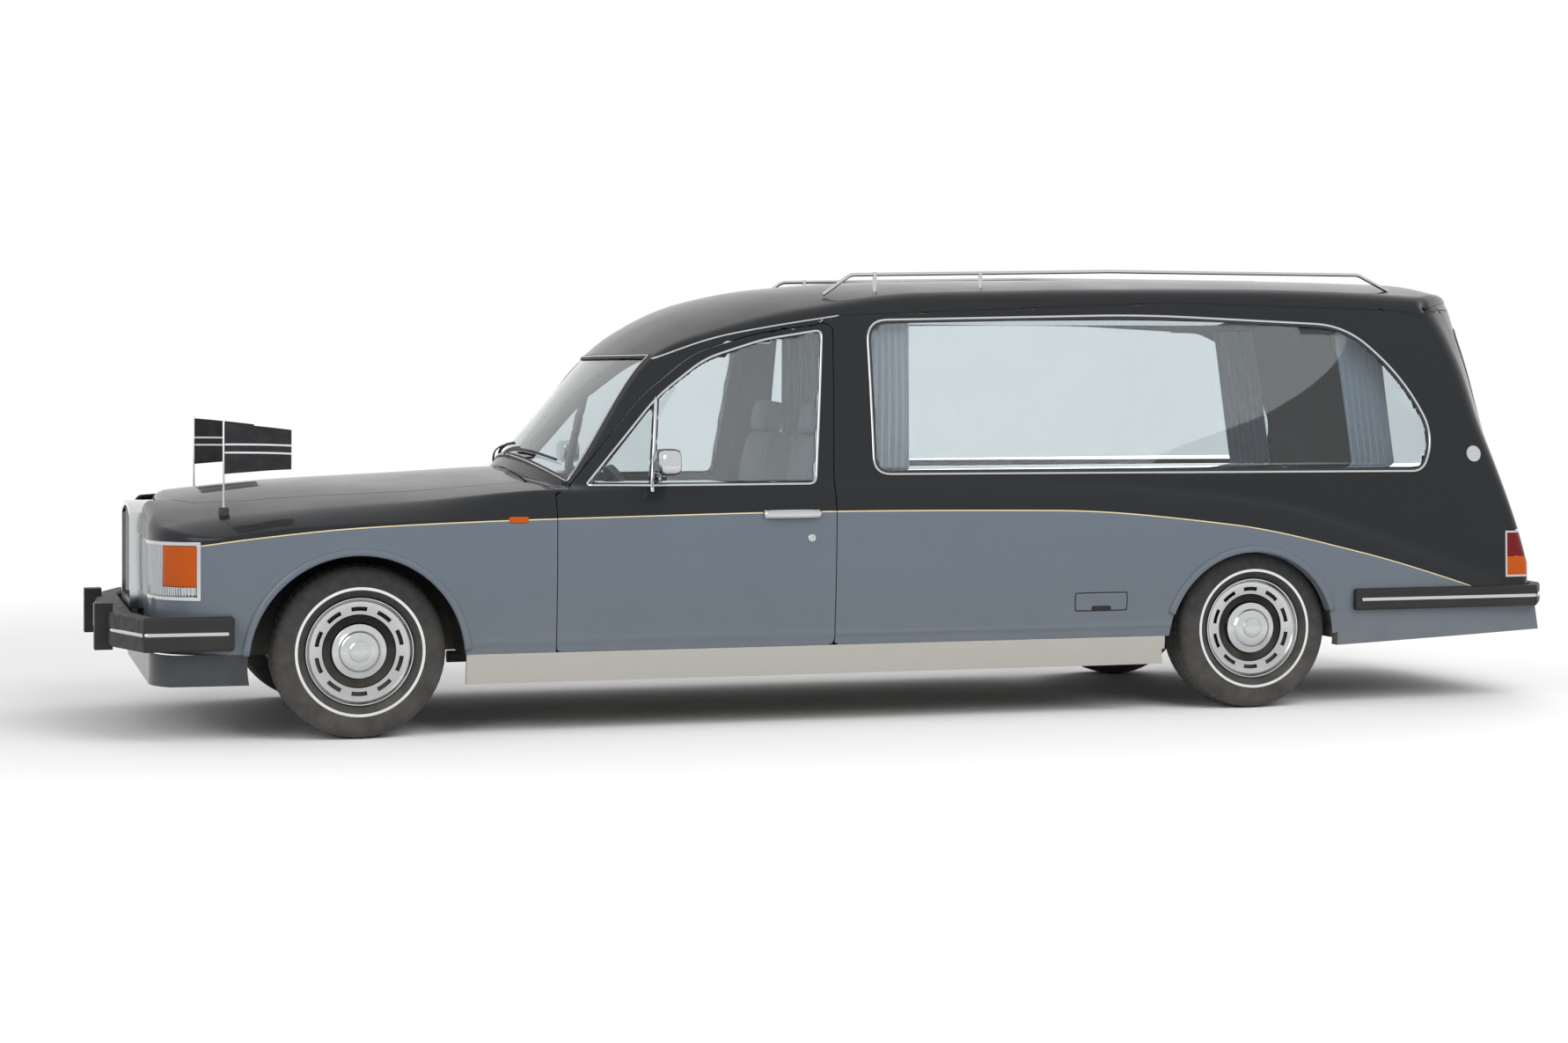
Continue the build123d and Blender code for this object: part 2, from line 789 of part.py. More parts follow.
# Bumpers: a band round each end of the car, seen in plan
bumper_depth = 88
front_bumper_low = 366
front_bumper_top = 500
front_bumper_back = 491
front_bumper_corner_ahead = 835
front_bumper_chamfer_y = 600
front_bumper_chamfer_ahead = 960
bumper_side_y = half_width
bumper_edge_radius = 14
overrider_y = 440
overrider_width = 90
overrider_depth = 70
overrider_low = 345
overrider_top = 530
with BuildPart() as front_bumper:
    with BuildSketch(Plane.XY.offset(front_bumper_low)):
        with BuildLine():
            left = [
                (front_axle_x + front_bumper_back, bumper_side_y),
                (front_axle_x + front_bumper_corner_ahead, bumper_side_y - overrun),
                (front_axle_x + front_bumper_chamfer_ahead - overrun, front_bumper_chamfer_y),
            ]
            nose_point = (front_axle_x + front_bumper_chamfer_ahead, 0)
            Polyline(*left)
            ThreePointArc(left[-1], nose_point, (left[-1][0], -left[-1][1]))
            Polyline(*[(x, -y) for x, y in reversed(left)])
            inner = [
                (left[0][0], bumper_side_y - bumper_depth * 0.45),
                (left[1][0] - bumper_depth * 0.6, bumper_side_y - bumper_depth * 0.6),
                (left[2][0] - bumper_depth, front_bumper_chamfer_y - bumper_depth * 0.3),
            ]
            Polyline((left[0][0], -left[0][1]), *[(x, -y) for x, y in inner], *reversed(inner), left[0])
        make_face()
    extrude(amount=front_bumper_top - front_bumper_low)
    fillet(faces().filter_by(Axis.Z).edges(), bumper_edge_radius)
    for side in (-1, 1):
        add(
            region(
                (tail_x + overall_length, tail_x + overall_length - overrider_depth),
                (side * overrider_y - overrider_width / 2, side * overrider_y + overrider_width / 2),
                (overrider_low, overrider_top),
            )
        )
save(cut_piece(front_bumper.part, take=[lower_outer]), "front_bumper")
rear_bumper_front_back = 4288
rear_bumper_low = 415
rear_bumper_top = 508
rear_bumper_corner_y = 760
with BuildPart() as rear_bumper:
    with BuildSketch(Plane.XY.offset(rear_bumper_low)):
        with BuildLine():
            left = [
                (front_axle_x - rear_bumper_front_back, bumper_side_y),
                (tail_x + bumper_depth * 1.7, bumper_side_y - bumper_depth * 0.2),
                (tail_x + bumper_depth * 0.5, rear_bumper_corner_y),
            ]
            Polyline(*left)
            ThreePointArc(left[-1], (tail_x, 0), (left[-1][0], -left[-1][1]))
            Polyline(*[(x, -y) for x, y in reversed(left)])
            inner = [
                (left[0][0], bumper_side_y - bumper_depth),
                (left[1][0] + bumper_depth, bumper_side_y - bumper_depth * 2),
                (left[2][0] + bumper_depth, rear_bumper_corner_y - bumper_depth),
            ]
            Polyline((left[0][0], -left[0][1]), *[(x, -y) for x, y in inner], *reversed(inner), left[0])
        make_face()
    extrude(amount=rear_bumper_top - rear_bumper_low)
    fillet(faces().filter_by(Axis.Z).edges(), bumper_edge_radius)
rear_bumper_part = cut_piece(rear_bumper.part, take=[outer_form])
save(rear_bumper_part, "rear_bumper")

# Door mirrors on brackets at the quarter lights
mirror_back = 1210
mirror_x = front_axle_x - mirror_back
mirror_y = 1008
mirror_z = 1086
mirror_depth = 110
mirror_width = 185
mirror_height = 112
mirror_radius = 36
bracket_radius = 11
bracket_foot_y = half_width * 0.94
bracket_foot_z = 968
with BuildPart() as mirror_left:
    with Locations((mirror_x, mirror_y, mirror_z)):
        Box(mirror_depth, mirror_width, mirror_height)
    fillet(edges().filter_by(Axis.X), mirror_radius)
    chamfer(faces().sort_by(Axis.X)[-1].edges(), mirror_radius * 0.6)
    bracket_low = (mirror_x, bracket_foot_y, bracket_foot_z)
    bracket_high = (mirror_x, mirror_y - mirror_width / 4, mirror_z - mirror_height / 4)
    with BuildLine():
        Line(bracket_low, bracket_high)
    with BuildSketch(Plane(origin=bracket_low, z_dir=Vector(*bracket_high) - Vector(*bracket_low))):
        Circle(bracket_radius)
    sweep()
mirror_left_part = cut_piece(mirror_left.part, take=[outer_form])
save(mirror_left_part, "mirror_left")
save(mirrored(mirror_left_part), "mirror_right")

# Roof rails: a tube on posts along each side of the roof
rail_y = 550
rail_radius = 8
rail_bend = 60
rail_path = [
    (front_axle_x - wheelbase * 0.520, roof_height * 0.950),
    (front_axle_x - wheelbase * 0.552, roof_height * 0.996),
    (front_axle_x - wheelbase * 0.860, roof_height * 1.010),
    (front_axle_x - wheelbase * 1.172, roof_height * 1.008),
    (front_axle_x - wheelbase * 1.210, roof_height * 0.970),
]
post_shares = (0.580, 0.704, 0.860, 1.015, 1.150)
post_radius = 9
with BuildPart() as rail:
    with BuildLine():
        FilletPolyline(*[(x, rail_y, z) for x, z in rail_path], radius=rail_bend)
    start = Vector(rail_path[0][0], rail_y, rail_path[0][1])
    second = Vector(rail_path[1][0], rail_y, rail_path[1][1])
    with BuildSketch(Plane(origin=start, z_dir=second - start)):
        Circle(rail_radius)
    sweep()
    for share in post_shares:
        with BuildSketch(Plane.XY.offset(roof_height * 0.95)):
            with Locations((front_axle_x - wheelbase * share, rail_y)):
                Circle(post_radius)
        extrude(amount=roof_height * 0.0525)
rail_part = cut_piece(rail.part, take=[upper_outer])
save(pair(max(rail_part.solids(), key=lambda s: s.volume)), "roof_rails")

# Mourning pennants on the front wings
flag_ahead = 515
flag_y = 735
flag_base_size = 34
flag_base_top = 912
flag_pole_radius = 4
flag_pole_top = 1257
flag_cloth_length = 262
flag_cloth_thickness = 2
flag_cloth_low = 1046
flag_cloth_high = 1247
flag_fly_share = 0.78
flag_x = front_axle_x + flag_ahead
with BuildPart() as flag:
    with Locations((flag_x, flag_y, flag_base_top - flag_base_size)):
        Box(flag_base_size, flag_base_size, flag_base_size * 2)
    with BuildSketch(Plane.XY.offset(flag_base_top - flag_base_size)):
        with Locations((flag_x, flag_y)):
            Circle(flag_pole_radius)
    extrude(amount=flag_pole_top - flag_base_top + flag_base_size)
    with BuildSketch(Plane.XZ.offset(-flag_y - flag_cloth_thickness / 2)):
        with BuildLine():
            cloth_middle = (flag_cloth_low + flag_cloth_high) / 2
            cloth_half = (flag_cloth_high - flag_cloth_low) / 2
            fly_half = cloth_half * flag_fly_share
            Polyline(
                (flag_x, cloth_middle - cloth_half),
                (flag_x, cloth_middle + cloth_half),
                (flag_x - flag_cloth_length, cloth_middle + fly_half),
                (flag_x - flag_cloth_length, cloth_middle - fly_half),
                close=True,
            )
        make_face()
    extrude(amount=flag_cloth_thickness)
flag_part = cut_piece(flag.part, take=[lower_outer])
save(pair(max(flag_part.solids(), key=lambda s: s.volume)), "flags")

# Floor pan with its bulkhead, sill boxes, front rails and wheel housings
floor_height = 262
floor_thickness = 8
floor_half = 800
rear_floor_height = 545
rear_floor_half = 595
kick_x = rear_axle_x + rear_housing_radius + side_wall * 2
floor_rear_x = tail_x + bumper_stand + tail_lean
bulkhead_top = 955
sill_box_inner_y = 770
sill_box_outer_y = 856
rail_inner_y = 380
rail_outer_y = 450
rail_low = 360
rail_top = 450
chassis_front_x = front_axle_x + 740
axle_slot_half = 60
floor_outline = [
    (bonnet_rear_x, bulkhead_top),
    (bonnet_rear_x, floor_height),
    (kick_x, floor_height),
    (kick_x - floor_thickness * 10, rear_floor_height),
    (floor_rear_x, rear_floor_height),
]


def arch_housing(axle_x, height, radius, y_range):
    """Half round tray over a wheel, open at its outer side, with its inner wall."""
    inner_y, outer_y = y_range
    with BuildPart() as housing:
        add(wheel_cylinder(axle_x, height, radius + housing_wall, (inner_y - housing_wall, outer_y)))
        add(wheel_cylinder(axle_x, height, radius, (inner_y, outer_y + overrun)), mode=Mode.SUBTRACT)
        add(region((-far_x, far_x), (-far_y, far_y), (-far_z, height)), mode=Mode.SUBTRACT)
    return housing.part


front_tray = arch_housing(
    front_arch_x, front_arch_height, front_housing_radius, (front_housing_inner_y, housing_outer_y)
)
rear_tray = arch_housing(rear_arch_x, rear_arch_height, rear_housing_radius, (rear_housing_inner_y, housing_outer_y))
with BuildPart() as floor_half_part:
    with BuildSketch(Plane.XZ):
        with BuildLine():
            Polyline(*floor_outline)
            offset(amount=floor_thickness / 2, side=Side.BOTH, kind=Kind.INTERSECTION)
        make_face()
    extrude(amount=-rear_floor_half)
    add(region((bonnet_rear_x, kick_x), (rear_floor_half, sill_box_outer_y), (floor_height - floor_thickness / 2, floor_height + floor_thickness / 2)))
    add(region((bonnet_rear_x - floor_thickness / 2, bonnet_rear_x + floor_thickness / 2), (rear_floor_half, floor_half), (floor_height, bulkhead_top)))
    add(region((door_front_x - overrun, kick_x), (sill_box_inner_y, sill_box_outer_y), (sill_low, sill_top)))
    add(region((bonnet_rear_x, chassis_front_x), (rail_inner_y, rail_outer_y), (rail_low, rail_top)))
    add(front_tray)
    add(rear_tray)
axle_slot = region(
    (rear_axle_x - axle_slot_half, rear_axle_x + axle_slot_half),
    (0, far_y),
    (tyre_radius - axle_slot_half, tyre_radius + axle_slot_half),
)
wing_shell = cut_piece(front_shell, keep=[region((wing_x, far_x), (far_y, -far_y), (0, far_z))])
floor_cut = cut_piece(
    floor_half_part.part,
    keep=[lower_form(skin) + upper_form(skin)],
    take=[wing_shell, axle_slot, sill_trim],
)
floor_left = max(floor_cut.solids(), key=lambda s: s.volume)
with BuildPart() as floor_pan:
    add(floor_left)
    mirror(floor_left, about=Plane.XZ)
save(floor_pan.part, "floor_pan")

# Coffin deck with rollers, on skirts down to the floor
deck_height = 935
deck_thickness = 18
deck_half = 740
deck_front_x = front_axle_x - wheelbase * 0.548
deck_rear_x = tail_x + bumper_stand + tail_lean + side_wall
roller_radius = 22
roller_half = 300
roller_drop = 5
roller_count = 6
skirt_thickness = 14
board_height = 10
board_inner_y = 340
board_outer_y = 600
board_end_gap = 260
with BuildPart() as coffin_deck:
    add(region((deck_front_x, deck_rear_x), (-deck_half, deck_half), (deck_height - deck_thickness, deck_height)))
    for side in (-1, 1):
        add(
            region(
                (deck_front_x, deck_rear_x),
                (side * rear_floor_half, side * (rear_floor_half - skirt_thickness)),
                (rear_floor_height + floor_thickness / 2 + seat_gap, deck_height),
            )
        )
    add(
        region(
            (deck_front_x, deck_front_x - skirt_thickness),
            (-rear_floor_half, rear_floor_half),
            (floor_height + floor_thickness / 2 + seat_gap, deck_height),
        )
    )
    for side in (-1, 1):
        add(
            region(
                (deck_front_x - board_end_gap, deck_rear_x + board_end_gap),
                (side * board_inner_y, side * board_outer_y),
                (deck_height, deck_height + board_height),
            )
        )
    roller_pitch = (deck_front_x - deck_rear_x) / (roller_count + 1)
    for number in range(1, roller_count + 1):
        add(
            wheel_cylinder(
                deck_front_x - roller_pitch * number, deck_height - roller_drop, roller_radius, (-roller_half, roller_half)
            )
        )
save(coffin_deck.part, "coffin_deck")

# Seats, one on each side
seat_front_x = front_axle_x - 1330
seat_length = 520
seat_width = 520
seat_y = 400
seat_base = floor_height + floor_thickness / 2 + seat_gap
seat_top = 560
seat_back_thickness = 130
seat_back_height = 640
seat_back_lean = 110
headrest_height = 150
headrest_width = 260
headrest_thickness = 90
seat_radius = 30
with BuildPart() as seat:
    with BuildSketch(Plane.XZ.offset(-seat_y - seat_width / 2)):
        with BuildLine():
            back_x = seat_front_x - seat_length
            Polyline(
                (seat_front_x, seat_base),
                (seat_front_x, seat_top),
                (back_x, seat_top - seat_radius),
                (back_x - seat_back_lean, seat_top + seat_back_height),
                (back_x - seat_back_lean - seat_back_thickness * 0.7, seat_top + seat_back_height),
                (back_x - seat_back_thickness, seat_top - seat_radius),
                (back_x - seat_back_thickness, seat_base),
                close=True,
            )
        make_face()
    extrude(amount=seat_width)
    head_x = back_x - seat_back_lean - seat_back_thickness * 0.35
    head_z = seat_top + seat_back_height + headrest_height / 2 - seat_radius
    with Locations((head_x, seat_y, head_z)):
        Box(headrest_thickness, headrest_width, headrest_height)
save(pair(seat.part), "seats")

# Dashboard with the steering column and wheel
dash_front_x = bonnet_rear_x - floor_thickness / 2 - seat_gap
dash_rear_x = front_axle_x - 1030
dash_half = 735
dash_low = 660
dash_top = 955
dash_middle_half = 600
dash_end_top = 890
steering_y = 370
steering_radius = 195
steering_rim = 14
steering_x = front_axle_x - 1190
steering_z = 880
column_radius = 28
with BuildPart() as dashboard:
    add(region((dash_front_x, dash_rear_x), (-dash_half, dash_half), (dash_low, dash_end_top)))
    add(region((dash_front_x, dash_rear_x), (-dash_middle_half, dash_middle_half), (dash_low, dash_top)))
    wheel_plane = Plane(origin=(steering_x, steering_y, steering_z), x_dir=(0, 1, 0), z_dir=(-2, 0, 1))
    with BuildSketch(wheel_plane):
        Circle(steering_radius)
        Circle(steering_radius - steering_rim * 2, mode=Mode.SUBTRACT)
        Rectangle(steering_radius * 2 - steering_rim, steering_rim * 3)
        Circle(column_radius * 1.6)
    extrude(amount=steering_rim, both=True)
    with BuildSketch(wheel_plane):
        Circle(column_radius)
    extrude(amount=(steering_x - dash_rear_x) * 1.25)
save(dashboard.part, "dashboard")

# Curtains at both ends of the side windows
curtain_thickness = 16
curtain_top = 1650
curtain_top_y = 655
curtain_width_shares = ((0.560, 0.610), (1.140, 1.195))
with BuildPart() as curtains:
    for front_share, rear_share in curtain_width_shares:
        for side in (-1, 1):
            add(
                region(
                    (behind(front_share), behind(rear_share)),
                    (side * curtain_top_y, side * (curtain_top_y + curtain_thickness)),
                    (deck_height + seat_gap, curtain_top),
                )
            )
save(curtains.part, "curtains")

# Engine with its gearbox, as one plain block
engine_front_x = front_axle_x + 420
engine_rear_x = front_axle_x - 330
engine_half = 250
engine_low = 300
engine_top = 830
subframe_low = 205
subframe_top = engine_low - seat_gap
subframe_length = 260
save(region((engine_front_x, engine_rear_x), (-engine_half, engine_half), (engine_low, engine_top)), "engine_block")

# Front subframe with the arms that carry the knuckles
knuckle_y = 665
knuckle_half = 25
arm_height = tyre_radius - 125
arm_thickness = 24
arm_length = 40
hanger_half = 30
with BuildPart() as front_subframe:
    add(
        region(
            (front_axle_x + subframe_length / 2, front_axle_x - subframe_length / 2),
            (-rail_outer_y, rail_outer_y),
            (subframe_low, subframe_top),
        )
    )
    for side in (-1, 1):
        add(
            region(
                (front_axle_x + hanger_half, front_axle_x - hanger_half),
                (side * rail_inner_y, side * rail_outer_y),
                (subframe_low, rail_low - seat_gap),
            )
        )
        add(
            region(
                (front_axle_x + arm_length / 2, front_axle_x - arm_length / 2),
                (side * rail_outer_y, side * (knuckle_y - knuckle_half - seat_gap)),
                (arm_height - arm_thickness / 2, arm_height + arm_thickness / 2),
            )
        )
save(front_subframe.part, "front_subframe")

# Rear axle with its springs up to the floor
axle_radius = 38
final_drive_radius = 135
final_drive_half = 130
stub_end_y = wheel_y - 30
spring_radius = 55
spring_y = 470
with BuildPart() as rear_axle:
    add(wheel_cylinder(rear_axle_x, tyre_radius, axle_radius, (-stub_end_y, stub_end_y)))
    add(wheel_cylinder(rear_axle_x, tyre_radius, final_drive_radius, (-final_drive_half / 2, final_drive_half / 2)))
    for side in (-1, 1):
        with BuildSketch(Plane.XY.offset(tyre_radius)):
            with Locations((rear_axle_x, side * spring_y)):
                Circle(spring_radius)
        extrude(amount=rear_floor_height - floor_thickness / 2 - seat_gap - tyre_radius)
save(rear_axle.part, "rear_axle")

# Exhaust below the floor
pipe_radius = 26
pipe_y = -300
pipe_height = 210
pipe_bend = 90
silencer_radius = 42
silencer_length = 700
silencer_x = front_axle_x - 2200
pipe_hang = floor_height - floor_thickness / 2 - seat_gap
pipe_points = [
    (engine_rear_x - overrun * 10, pipe_y, pipe_height),
    (silencer_x - silencer_length, pipe_y, pipe_height),
    (rear_axle_x + final_drive_radius * 2, pipe_y * 0.85, pipe_height),
]
with BuildPart() as exhaust:
    with BuildLine():
        FilletPolyline(*pipe_points, radius=pipe_bend)
    with BuildSketch(Plane(origin=pipe_points[0], z_dir=(-1, 0, 0))):
        Circle(pipe_radius)
    sweep()
    with BuildSketch(Plane.YZ.offset(silencer_x)):
        with Locations((pipe_y, pipe_height)):
            Circle(silencer_radius)
    extrude(amount=-silencer_length)
    for hanger_x in (silencer_x, silencer_x - silencer_length + overrun):
        add(
            region(
                (hanger_x, hanger_x - overrun), (pipe_y - overrun, pipe_y + overrun), (pipe_height, pipe_hang)
            )
        )
save(exhaust.part, "exhaust")

# Wheels: a tyre and a rim with its slotted disc, hub, brake disc and plain cap
disc_face_y = 62
disc_thickness = 8
bead_y = 92
flange_thickness = 8


def wheel_profile(points):
    """Ring turned about the wheel's own axis, which lies along Y at the origin."""
    with BuildPart() as ring:
        with BuildSketch(Plane.YZ):
            with BuildLine():
                Polyline(*points, close=True)
            make_face()
        revolve(axis=Axis.Y)
    return ring.part


bore = rim_radius + seat_gap
wall_reach = tyre_radius - bore
tyre_half_shares = (
    (0.81, 0.00),
    (1.00, 0.45),
    (0.92, 0.90),
    (0.74, 1.00),
)
tyre_points = [(tyre_width / 2 * out, bore + wall_reach * up) for out, up in tyre_half_shares]
tyre = wheel_profile([*tyre_points, *[(-out, up) for out, up in reversed(tyre_points)]])
rim_half_width = bead_y
hub_inner_y = stub_end_y - wheel_y + seat_gap
with BuildPart() as rim:
    add(
        wheel_profile(
            [
                (-rim_half_width, rim_radius - rim_wall),
                (-rim_half_width, rim_radius),
                (bead_y + flange_thickness, rim_radius),
                (bead_y + flange_thickness, rim_radius - rim_wall),
                (disc_face_y + disc_thickness, rim_radius - rim_wall * 3),
                (disc_face_y + disc_thickness, cap_radius),
                (disc_face_y + disc_thickness + cap_depth, cap_radius - cap_depth),
                (disc_face_y + disc_thickness + cap_depth, 0),
                (hub_inner_y, 0),
                (hub_inner_y, hub_radius),
                (-brake_disc_thickness / 2, hub_radius),
                (-brake_disc_thickness / 2, brake_disc_radius),
                (brake_disc_thickness / 2, brake_disc_radius),
                (brake_disc_thickness / 2, hub_radius),
                (disc_face_y, hub_radius),
                (disc_face_y, rim_radius - rim_wall),
            ]
        )
    )
    with BuildSketch(Plane.XZ.offset(-disc_face_y - disc_thickness - overrun)):
        with PolarLocations(slot_circle_radius, slot_count):
            Rectangle(slot_width, slot_length)
    extrude(amount=disc_thickness + overrun * 2, mode=Mode.SUBTRACT)
for end, axle_x in (("front", front_axle_x), ("rear", rear_axle_x)):
    for side, word in ((1, "left"), (-1, "right")):
        turn = 0 if side == 1 else 180
        place = Location((axle_x, side * wheel_y, tyre_radius), (0, 0, turn))
        save(tyre.moved(place), f"tyre_{end}_{word}")
        save(rim.part.moved(place), f"rim_{end}_{word}")

# Knuckles that carry the front wheels
knuckle_reach = 135
with BuildPart() as knuckle:
    with BuildSketch(Plane.XY.offset(tyre_radius - knuckle_reach)):
        with Locations((front_axle_x, knuckle_y)):
            Circle(knuckle_half)
    extrude(amount=knuckle_reach * 2)
    add(wheel_cylinder(front_axle_x, tyre_radius, stub_radius, (knuckle_y, stub_end_y)))
save(knuckle.part, "knuckle_left")
save(mirrored(knuckle.part), "knuckle_right")
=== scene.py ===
import bpy
import numpy as np
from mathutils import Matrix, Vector


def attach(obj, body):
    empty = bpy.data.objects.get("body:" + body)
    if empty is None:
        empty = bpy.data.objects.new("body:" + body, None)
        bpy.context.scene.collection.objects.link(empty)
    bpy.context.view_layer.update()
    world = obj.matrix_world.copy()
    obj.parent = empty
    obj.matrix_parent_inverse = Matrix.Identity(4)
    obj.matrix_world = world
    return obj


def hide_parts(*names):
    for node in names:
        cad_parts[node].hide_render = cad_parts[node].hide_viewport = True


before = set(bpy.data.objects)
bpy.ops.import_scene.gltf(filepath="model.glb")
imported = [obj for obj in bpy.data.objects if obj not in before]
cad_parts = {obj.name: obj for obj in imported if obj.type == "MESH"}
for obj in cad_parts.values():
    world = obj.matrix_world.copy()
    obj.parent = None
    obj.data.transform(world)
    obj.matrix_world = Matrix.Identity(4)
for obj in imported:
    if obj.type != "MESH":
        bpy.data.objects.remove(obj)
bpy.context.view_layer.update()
scene = bpy.context.scene
scene.view_settings.view_transform = "Standard"
print("frame loaded")

# camera at the photograph's place, level, turned to the car's left side
cameraFacts = {
    "place": (3.742, 12.817, 1.422),
    "forward": (-0.2973, -0.9548, 0.0),
    "lens": 69.2,
    "shift": (-0.0612, -0.0912),
}
cameraData = bpy.data.cameras.new("camera")
cameraData.lens = cameraFacts["lens"]
cameraData.shift_x, cameraData.shift_y = cameraFacts["shift"]
cameraData.clip_end = 100
camera = bpy.data.objects.new("camera", cameraData)
camera.location = cameraFacts["place"]
camera.rotation_euler = Vector(cameraFacts["forward"]).to_track_quat("-Z", "Y").to_euler()
scene.collection.objects.link(camera)
scene.camera = camera

# the car's sizes in metres
car = {
    "frontAxleX": 2.1675,
    "rearAxleX": -1.6625,
    "wheelbase": 3.83,
    "halfWidth": 0.943,
    "roofHeight": 1.87,
    "shoulderHeight": 0.865,
    "sillBottom": 0.205,
    "tailX": -3.1375,
    "shutGap": 0.0035,
    "doorFrontX": 1.3905,
    "bonnetRearX": 1.4675,
}
lowerShares = np.array([  # back, sill, shoulder and top half widths, shoulder, top and crown heights
    (-0.230, 0.900, 0.925, 0.730, 0.880, 0.950, 1.082),
    (-0.162, 0.922, 0.962, 0.784, 0.915, 1.004, 1.118),
    (-0.065, 0.941, 0.990, 0.837, 0.969, 1.046, 1.156),
    (0.065, 0.946, 0.997, 0.869, 0.992, 1.081, 1.183),
    (0.203, 0.949, 1.000, 0.938, 1.000, 1.128, 1.209),
    (0.506, 0.949, 1.000, 0.957, 1.005, 1.139, 1.160),
    (0.793, 0.949, 1.000, 0.962, 0.990, 1.106, 1.130),
    (1.014, 0.946, 0.990, 0.960, 0.890, 1.007, 1.035),
    (1.144, 0.938, 0.975, 0.946, 0.757, 0.852, 0.880),
    (1.264, 0.917, 0.950, 0.924, 0.601, 0.682, 0.710),
    (1.410, 0.865, 0.890, 0.872, 0.410, 0.470, 0.500),
])
upperShares = np.array([  # back, waist y and z, gutter y and z, roof edge y and z, roof middle z
    (0.167, 0.955, 0.270, 0.935, 0.375, 0.900, 0.393, 0.523),
    (0.225, 0.955, 0.400, 0.872, 0.521, 0.840, 0.539, 0.662),
    (0.3235, 0.953, 0.520, 0.735, 0.800, 0.695, 0.817, 0.868),
    (0.392, 0.953, 0.527, 0.747, 0.845, 0.690, 0.872, 0.935),
    (0.483, 0.950, 0.527, 0.763, 0.885, 0.690, 0.918, 0.970),
    (0.627, 0.935, 0.527, 0.772, 0.917, 0.690, 0.956, 0.990),
    (1.018, 0.932, 0.527, 0.772, 0.932, 0.687, 0.970, 1.000),
    (1.253, 0.920, 0.527, 0.757, 0.914, 0.672, 0.955, 0.994),
    (1.339, 0.905, 0.527, 0.738, 0.874, 0.652, 0.908, 0.950),
    (1.420, 0.890, 0.527, 0.715, 0.800, 0.625, 0.835, 0.860),
])
doorShares = ((0.2029, 0.17433), (0.2029, 0.5120), (0.2200, 0.5230), (0.3020, 0.7200), (0.3640, 0.8180),
              (0.4330, 0.8600), (0.5100, 0.8830), (0.5170, 0.8750), (0.5060, 0.5270), (0.50522, 0.17433))
doorWindowShares = ((0.2380, 0.5290), (0.3190, 0.7200), (0.3740, 0.8040), (0.4390, 0.8470), (0.5050, 0.8690),
                    (0.4860, 0.5290))
quarterBarShares = ((0.3022, 0.5150), (0.3153, 0.7190), (0.3219, 0.7190), (0.3088, 0.5150))
sideWindowShares = ((0.5530, 0.5480), (0.5560, 0.8910), (0.8800, 0.9070), (1.1320, 0.8850), (1.2050, 0.7500),
                    (1.2330, 0.6150), (1.2130, 0.5430))
sideWindowRounds = (0.022, 0.027, 0.20, 0.045, 0.10, 0.05, 0.014)
gutterShares = ((0.2600, 0.8020), (0.3190, 0.8030), (0.5250, 0.9020), (0.9140, 0.9370), (1.2000, 0.9220),
                (1.3100, 0.8850), (1.4300, 0.8000))
bonnetShares = ((0.192, 0.320), (0.160, 0.520), (0.105, 0.610), (-0.1828, 0.730))
arches = {
    "front": (car["frontAxleX"] + 0.013, 0.307, 0.425),
    "rear": (car["rearAxleX"] + 0.024, 0.294, 0.387),
}


def backX(share):  # place along the car from a share of the wheelbase behind the front axle
    return car["frontAxleX"] - car["wheelbase"] * np.asarray(share)


def sideLine(shares):  # side points (x, z) from shares of the wheelbase and of the roof height
    rows = np.array(shares)
    return np.column_stack([backX(rows[:, 0]), rows[:, 1] * car["roofHeight"]])


def easeCurve(x, knots, values):
    # monotone cubic: between two knots the value follows the cubic that has both end slopes, and a
    # slope is the harmonic mean of the runs on its two sides, or zero where they turn
    order = np.argsort(knots)
    knots, values = np.asarray(knots)[order], np.asarray(values)[order]
    h = np.diff(knots)
    run = np.diff(values) / h
    inner = np.where(run[:-1] * run[1:] > 0, 2 * run[:-1] * run[1:] / (run[:-1] + run[1:] + 1e-12), 0)
    slope = np.concatenate([[run[0]], inner, [run[-1]]])
    k = np.clip(np.searchsorted(knots, x) - 1, 0, len(h) - 1)
    t = np.clip((x - knots[k]) / h[k], -0.2, 1.2)
    return (values[k] * (1 + 2 * t) * (1 - t) ** 2 + slope[k] * h[k] * t * (1 - t) ** 2
            + values[k + 1] * t * t * (3 - 2 * t) + slope[k + 1] * h[k] * t * t * (t - 1))


def lowerAt(x):  # the lower body's widths and heights at x, each column of the table eased along the car
    back = backX(lowerShares[:, 0])
    width, tall = car["halfWidth"], car["shoulderHeight"]
    scales = (width, width, width, tall, tall, tall)
    return [easeCurve(x, back, lowerShares[:, i + 1] * scale) for i, scale in enumerate(scales)]


def upperAt(x):  # the upper body's widths and heights at x, eased along the car
    back = backX(upperShares[:, 0])
    width, tall = car["halfWidth"], car["roofHeight"]
    scales = (width, tall, width, tall, width, tall, tall)
    return [easeCurve(x, back, upperShares[:, i + 1] * scale) for i, scale in enumerate(scales)]


